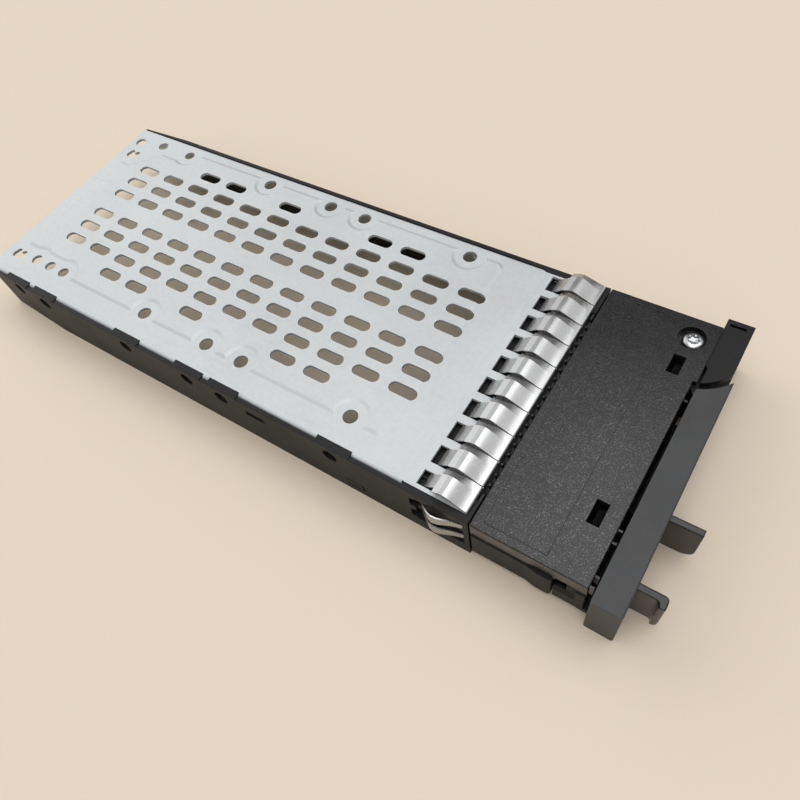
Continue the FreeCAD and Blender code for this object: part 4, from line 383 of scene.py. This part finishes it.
class CarrierStageSettings(bpy.types.PropertyGroup):
    """Camera, floor and surroundings."""
    camera_place: bpy.props.FloatVectorProperty(
        name="Camera place", description="Where the camera stands", subtype="TRANSLATION", unit="LENGTH",
        default=(0.10544, -0.08894, 0.16589))
    camera_turn: bpy.props.FloatVectorProperty(
        name="Camera turn", description="How the camera is turned", subtype="EULER",
        default=tuple(math.radians(angle) for angle in (32.805, 7.694, 32.825)))
    lens: bpy.props.FloatProperty(
        name="Lens", description="Focal length on a 36 mm wide sensor, in millimetres",
        default=31.046, min=5.0)
    floor_size: bpy.props.FloatProperty(
        name="Floor size", description="Side of the floor", default=6.0, unit="LENGTH")
    floor_colour: bpy.props.FloatVectorProperty(
        name="Floor colour", description="Colour of the floor", subtype="COLOR", size=4,
        default=(0.71, 0.61, 0.48, 1.0))
    sky_overhead: bpy.props.FloatProperty(
        name="Sky overhead", description="Brightness of the surroundings overhead", default=0.32, min=0.0)
    sky_horizon: bpy.props.FloatProperty(
        name="Sky at the horizon", description="Brightness of the surroundings at eye level",
        default=0.36, min=0.0)
    far_shade: bpy.props.FloatProperty(
        name="Far shade", description="Part of the surroundings' brightness left on the far side",
        default=0.25, min=0.0, max=1.0)
    ceiling_light: bpy.props.FloatProperty(
        name="Ceiling light", description="Brightness of the large soft light overhead",
        default=2.4, min=0.0)
    rear_light: bpy.props.FloatProperty(
        name="Rear light", description="Brightness of the light behind the rear end",
        default=1.3, min=0.0)
    near_light: bpy.props.FloatProperty(
        name="Near light", description="Brightness of the low light on the near side",
        default=0.4, min=0.0)
    far_light: bpy.props.FloatProperty(
        name="Far light", description="Brightness of the raised light beyond the front",
        default=0.9, min=0.0)


# ---------------------------------------------------------------- operators
class CARRIER_OT_metal(bpy.types.Operator):
    """Finish the tray, the contact springs, the air screen and the screws"""
    bl_idname = "carrier.metal"
    bl_label = "Metal finishes"

    def execute(self, context):
        settings = context.scene.carrier_metal
        spring = spring_steel(settings)
        screw = plated_steel("bright_screw", settings.screw_brightness, 0.3)
        # painted shade: the tab pins and coil spring in the gap behind the handle get a darker, duller plated
        # steel
        shaded_pin_steel = plated_steel("pin_steel_painted_shade", settings.screw_brightness * 0.4, 0.45)
        dress("tray_plate", zinc_sheet(settings))
        for node in ("contact_finger_strip", "side_clip_near", "side_clip_far"):
            dress(node, spring)
        for node in ("pivot_screw", "bulkhead_screws"):
            dress(node, screw)
        for node in ("tab_pin_near", "tab_pin_far", "tab_spring"):
            dress(node, shaded_pin_steel)
        dress("air_screen", screen_paint())
        lobed = make_lobed_screw(settings)
        dress(lobed, screw)
        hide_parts("pivot_screw")
        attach(lobed, "carrier")
        return {"FINISHED"}


class CARRIER_OT_plastic(bpy.types.Operator):
    """Finish the mouldings, the release tabs and the light guides"""
    bl_idname = "carrier.plastic"
    bl_label = "Plastic finishes"

    def execute(self, context):
        settings = context.scene.carrier_plastic
        rail = settings.rail_brightness
        dress("front_cover", black_plastic(
            "grained_cover", settings.cover_brightness, grain_mm=0.42, depth_mm=0.035, roughness=0.24,
            speckle=0.95, dust=0.1, index=1.5))
        dress("front_base", black_plastic(
            "satin_base", rail, grain_mm=0.4, depth_mm=0.03, roughness=0.54,
            speckle=0.3, dust=0.1, index=1.42, tint=WARM_REFLECTED_TINT, inside=HOUSING_INSIDE))
        dress("rail_frame", black_plastic(
            "rail_black", rail, grain_mm=0.4, depth_mm=0.03, roughness=0.56,
            speckle=0.3, dust=0.15, index=1.42, tint=WARM_REFLECTED_TINT))
        dress("handle_lever", black_plastic(
            "handle_black", settings.handle_brightness, grain_mm=0.45, depth_mm=0.05, roughness=0.56,
            speckle=0.2, dust=0.1, index=1.55, tint=COOL))
        gloss = glossy_black()
        for node in ("release_tab_far", "release_tab_near"):
            dress(node, gloss)
        clear = clear_plastic()
        for node in ("light_guide_activity", "light_guide_fault", "indicator_lenses"):
            dress(node, clear)
        return {"FINISHED"}


class CARRIER_OT_stage(bpy.types.Operator):
    """Make the floor, the surroundings with their lights, and the camera"""
    bl_idname = "carrier.stage"
    bl_label = "Studio and camera"

    def execute(self, context):
        settings = context.scene.carrier_stage
        make_floor(settings)
        make_sky(context.scene, settings)
        make_camera(context.scene, settings)
        return {"FINISHED"}


def make_floor(settings):
    """Large pale square that the object lies on."""
    half = settings.floor_size / 2
    mesh = bpy.data.meshes.new("floor")
    corners = [(-half, -half, 0.0), (half, -half, 0.0), (half, half, 0.0), (-half, half, 0.0)]
    mesh.from_pydata(corners, [], [(0, 1, 2, 3)])
    floor = bpy.data.objects.new("floor", mesh)
    bpy.context.scene.collection.objects.link(floor)
    material, tree, shader = new_material("floor_paper")
    fibre = noise(tree, object_points(tree), 3.0, 3.0, 0.6)
    pale = tuple(settings.floor_colour)
    colour = blend_colour(tree, fibre, tuple(0.985 * part for part in pale[:3]) + (1.0,), pale)
    plug(tree, shader, Base_Color=colour, Roughness=0.9)
    dress(floor, material)


def soft_light(tree, direction, light, strength):
    """Round light in the sky: full inside its inner angle, fading smoothly to none at the outer one."""
    toward, outer_deg, inner_deg = light
    middle = tuple(Vector(toward).normalized())
    aligned = add(tree, "ShaderNodeVectorMath", {0: direction, 1: middle}, operation="DOT_PRODUCT")
    sockets = {"Value": aligned.outputs["Value"], "From Min": math.cos(math.radians(outer_deg)),
               "From Max": math.cos(math.radians(inner_deg)), "To Min": 0.0, "To Max": strength}
    return add(tree, "ShaderNodeMapRange", sockets, interpolation_type="SMOOTHSTEP").outputs["Result"]


def make_sky(scene, settings):
    """Dim surroundings with a large soft ceiling light and three smaller ones round the object."""
    world = bpy.data.worlds.new("studio")
    world.use_nodes = True
    tree = world.node_tree
    direction = add(tree, "ShaderNodeTexCoord").outputs["Generated"]
    parts = add(tree, "ShaderNodeSeparateXYZ", {"Vector": direction}).outputs
    strength = spread(tree, parts["Z"], 0.15, 0.45, settings.sky_horizon, settings.sky_overhead)
    shaded = product(tree, spread(tree, parts["Y"], 0.5, 0.62), spread(tree, parts["Z"], 0.2, 0.45))
    strength = product(tree, strength, spread(tree, shaded, 0.0, 1.0, 1.0, settings.far_shade))
    ceiling = soft_light(tree, direction, CEILING, settings.ceiling_light)
    for axis, ends, full in CEILING_EDGES:
        ceiling = product(tree, ceiling, spread(tree, parts[axis], ends, full))
    strength = total(tree, strength, ceiling)
    lights = ((REAR, settings.rear_light), (NEAR, settings.near_light), (FAR, settings.far_light))
    for light, power in lights:
        strength = total(tree, strength, soft_light(tree, direction, light, power))
    tree.links.new(strength, tree.nodes["Background"].inputs["Strength"])
    tree.nodes["Background"].inputs["Color"].default_value = (0.985, 0.99, 1.0, 1.0)
    scene.world = world


def make_camera(scene, settings):
    """Camera at the viewing place."""
    data = bpy.data.cameras.new("camera")
    data.lens = settings.lens
    data.sensor_width = 36.0
    data.clip_start = 0.01
    camera = bpy.data.objects.new("camera", data)
    camera.location = settings.camera_place
    camera.rotation_euler = Euler(settings.camera_turn, "XYZ")
    scene.collection.objects.link(camera)
    scene.camera = camera


# ---------------------------------------------------------------- panel and registration
class CARRIER_PT_panel(bpy.types.Panel):
    """Sizes and colours of the carrier's looks"""
    bl_label = "Drive carrier"
    bl_space_type = "VIEW_3D"
    bl_region_type = "UI"
    bl_category = "Carrier"

    def draw(self, context):
        for operator, group in PANEL_ROWS:
            self.layout.operator(operator)
            settings = getattr(context.scene, group)
            for name in settings.bl_rna.properties.keys():
                if name not in ("rna_type", "name"):
                    self.layout.prop(settings, name)


PANEL_ROWS = (
    ("carrier.metal", "carrier_metal"),
    ("carrier.plastic", "carrier_plastic"),
    ("carrier.stage", "carrier_stage"),
)
CLASSES = (
    CarrierMetalSettings, CarrierPlasticSettings, CarrierStageSettings,
    CARRIER_OT_metal, CARRIER_OT_plastic, CARRIER_OT_stage, CARRIER_PT_panel,
)


def register():
    for cls in CLASSES:
        bpy.utils.register_class(cls)
    bpy.types.Scene.carrier_metal = bpy.props.PointerProperty(type=CarrierMetalSettings)
    bpy.types.Scene.carrier_plastic = bpy.props.PointerProperty(type=CarrierPlasticSettings)
    bpy.types.Scene.carrier_stage = bpy.props.PointerProperty(type=CarrierStageSettings)


def unregister():
    for name in ("carrier_metal", "carrier_plastic", "carrier_stage"):
        delattr(bpy.types.Scene, name)
    for cls in reversed(CLASSES):
        bpy.utils.unregister_class(cls)


def main():
    register()
    bpy.context.scene.view_settings.view_transform = "Standard"
    bpy.ops.carrier.metal()
    bpy.ops.carrier.plastic()
    bpy.ops.carrier.stage()


if __name__ == "__main__":
    main()
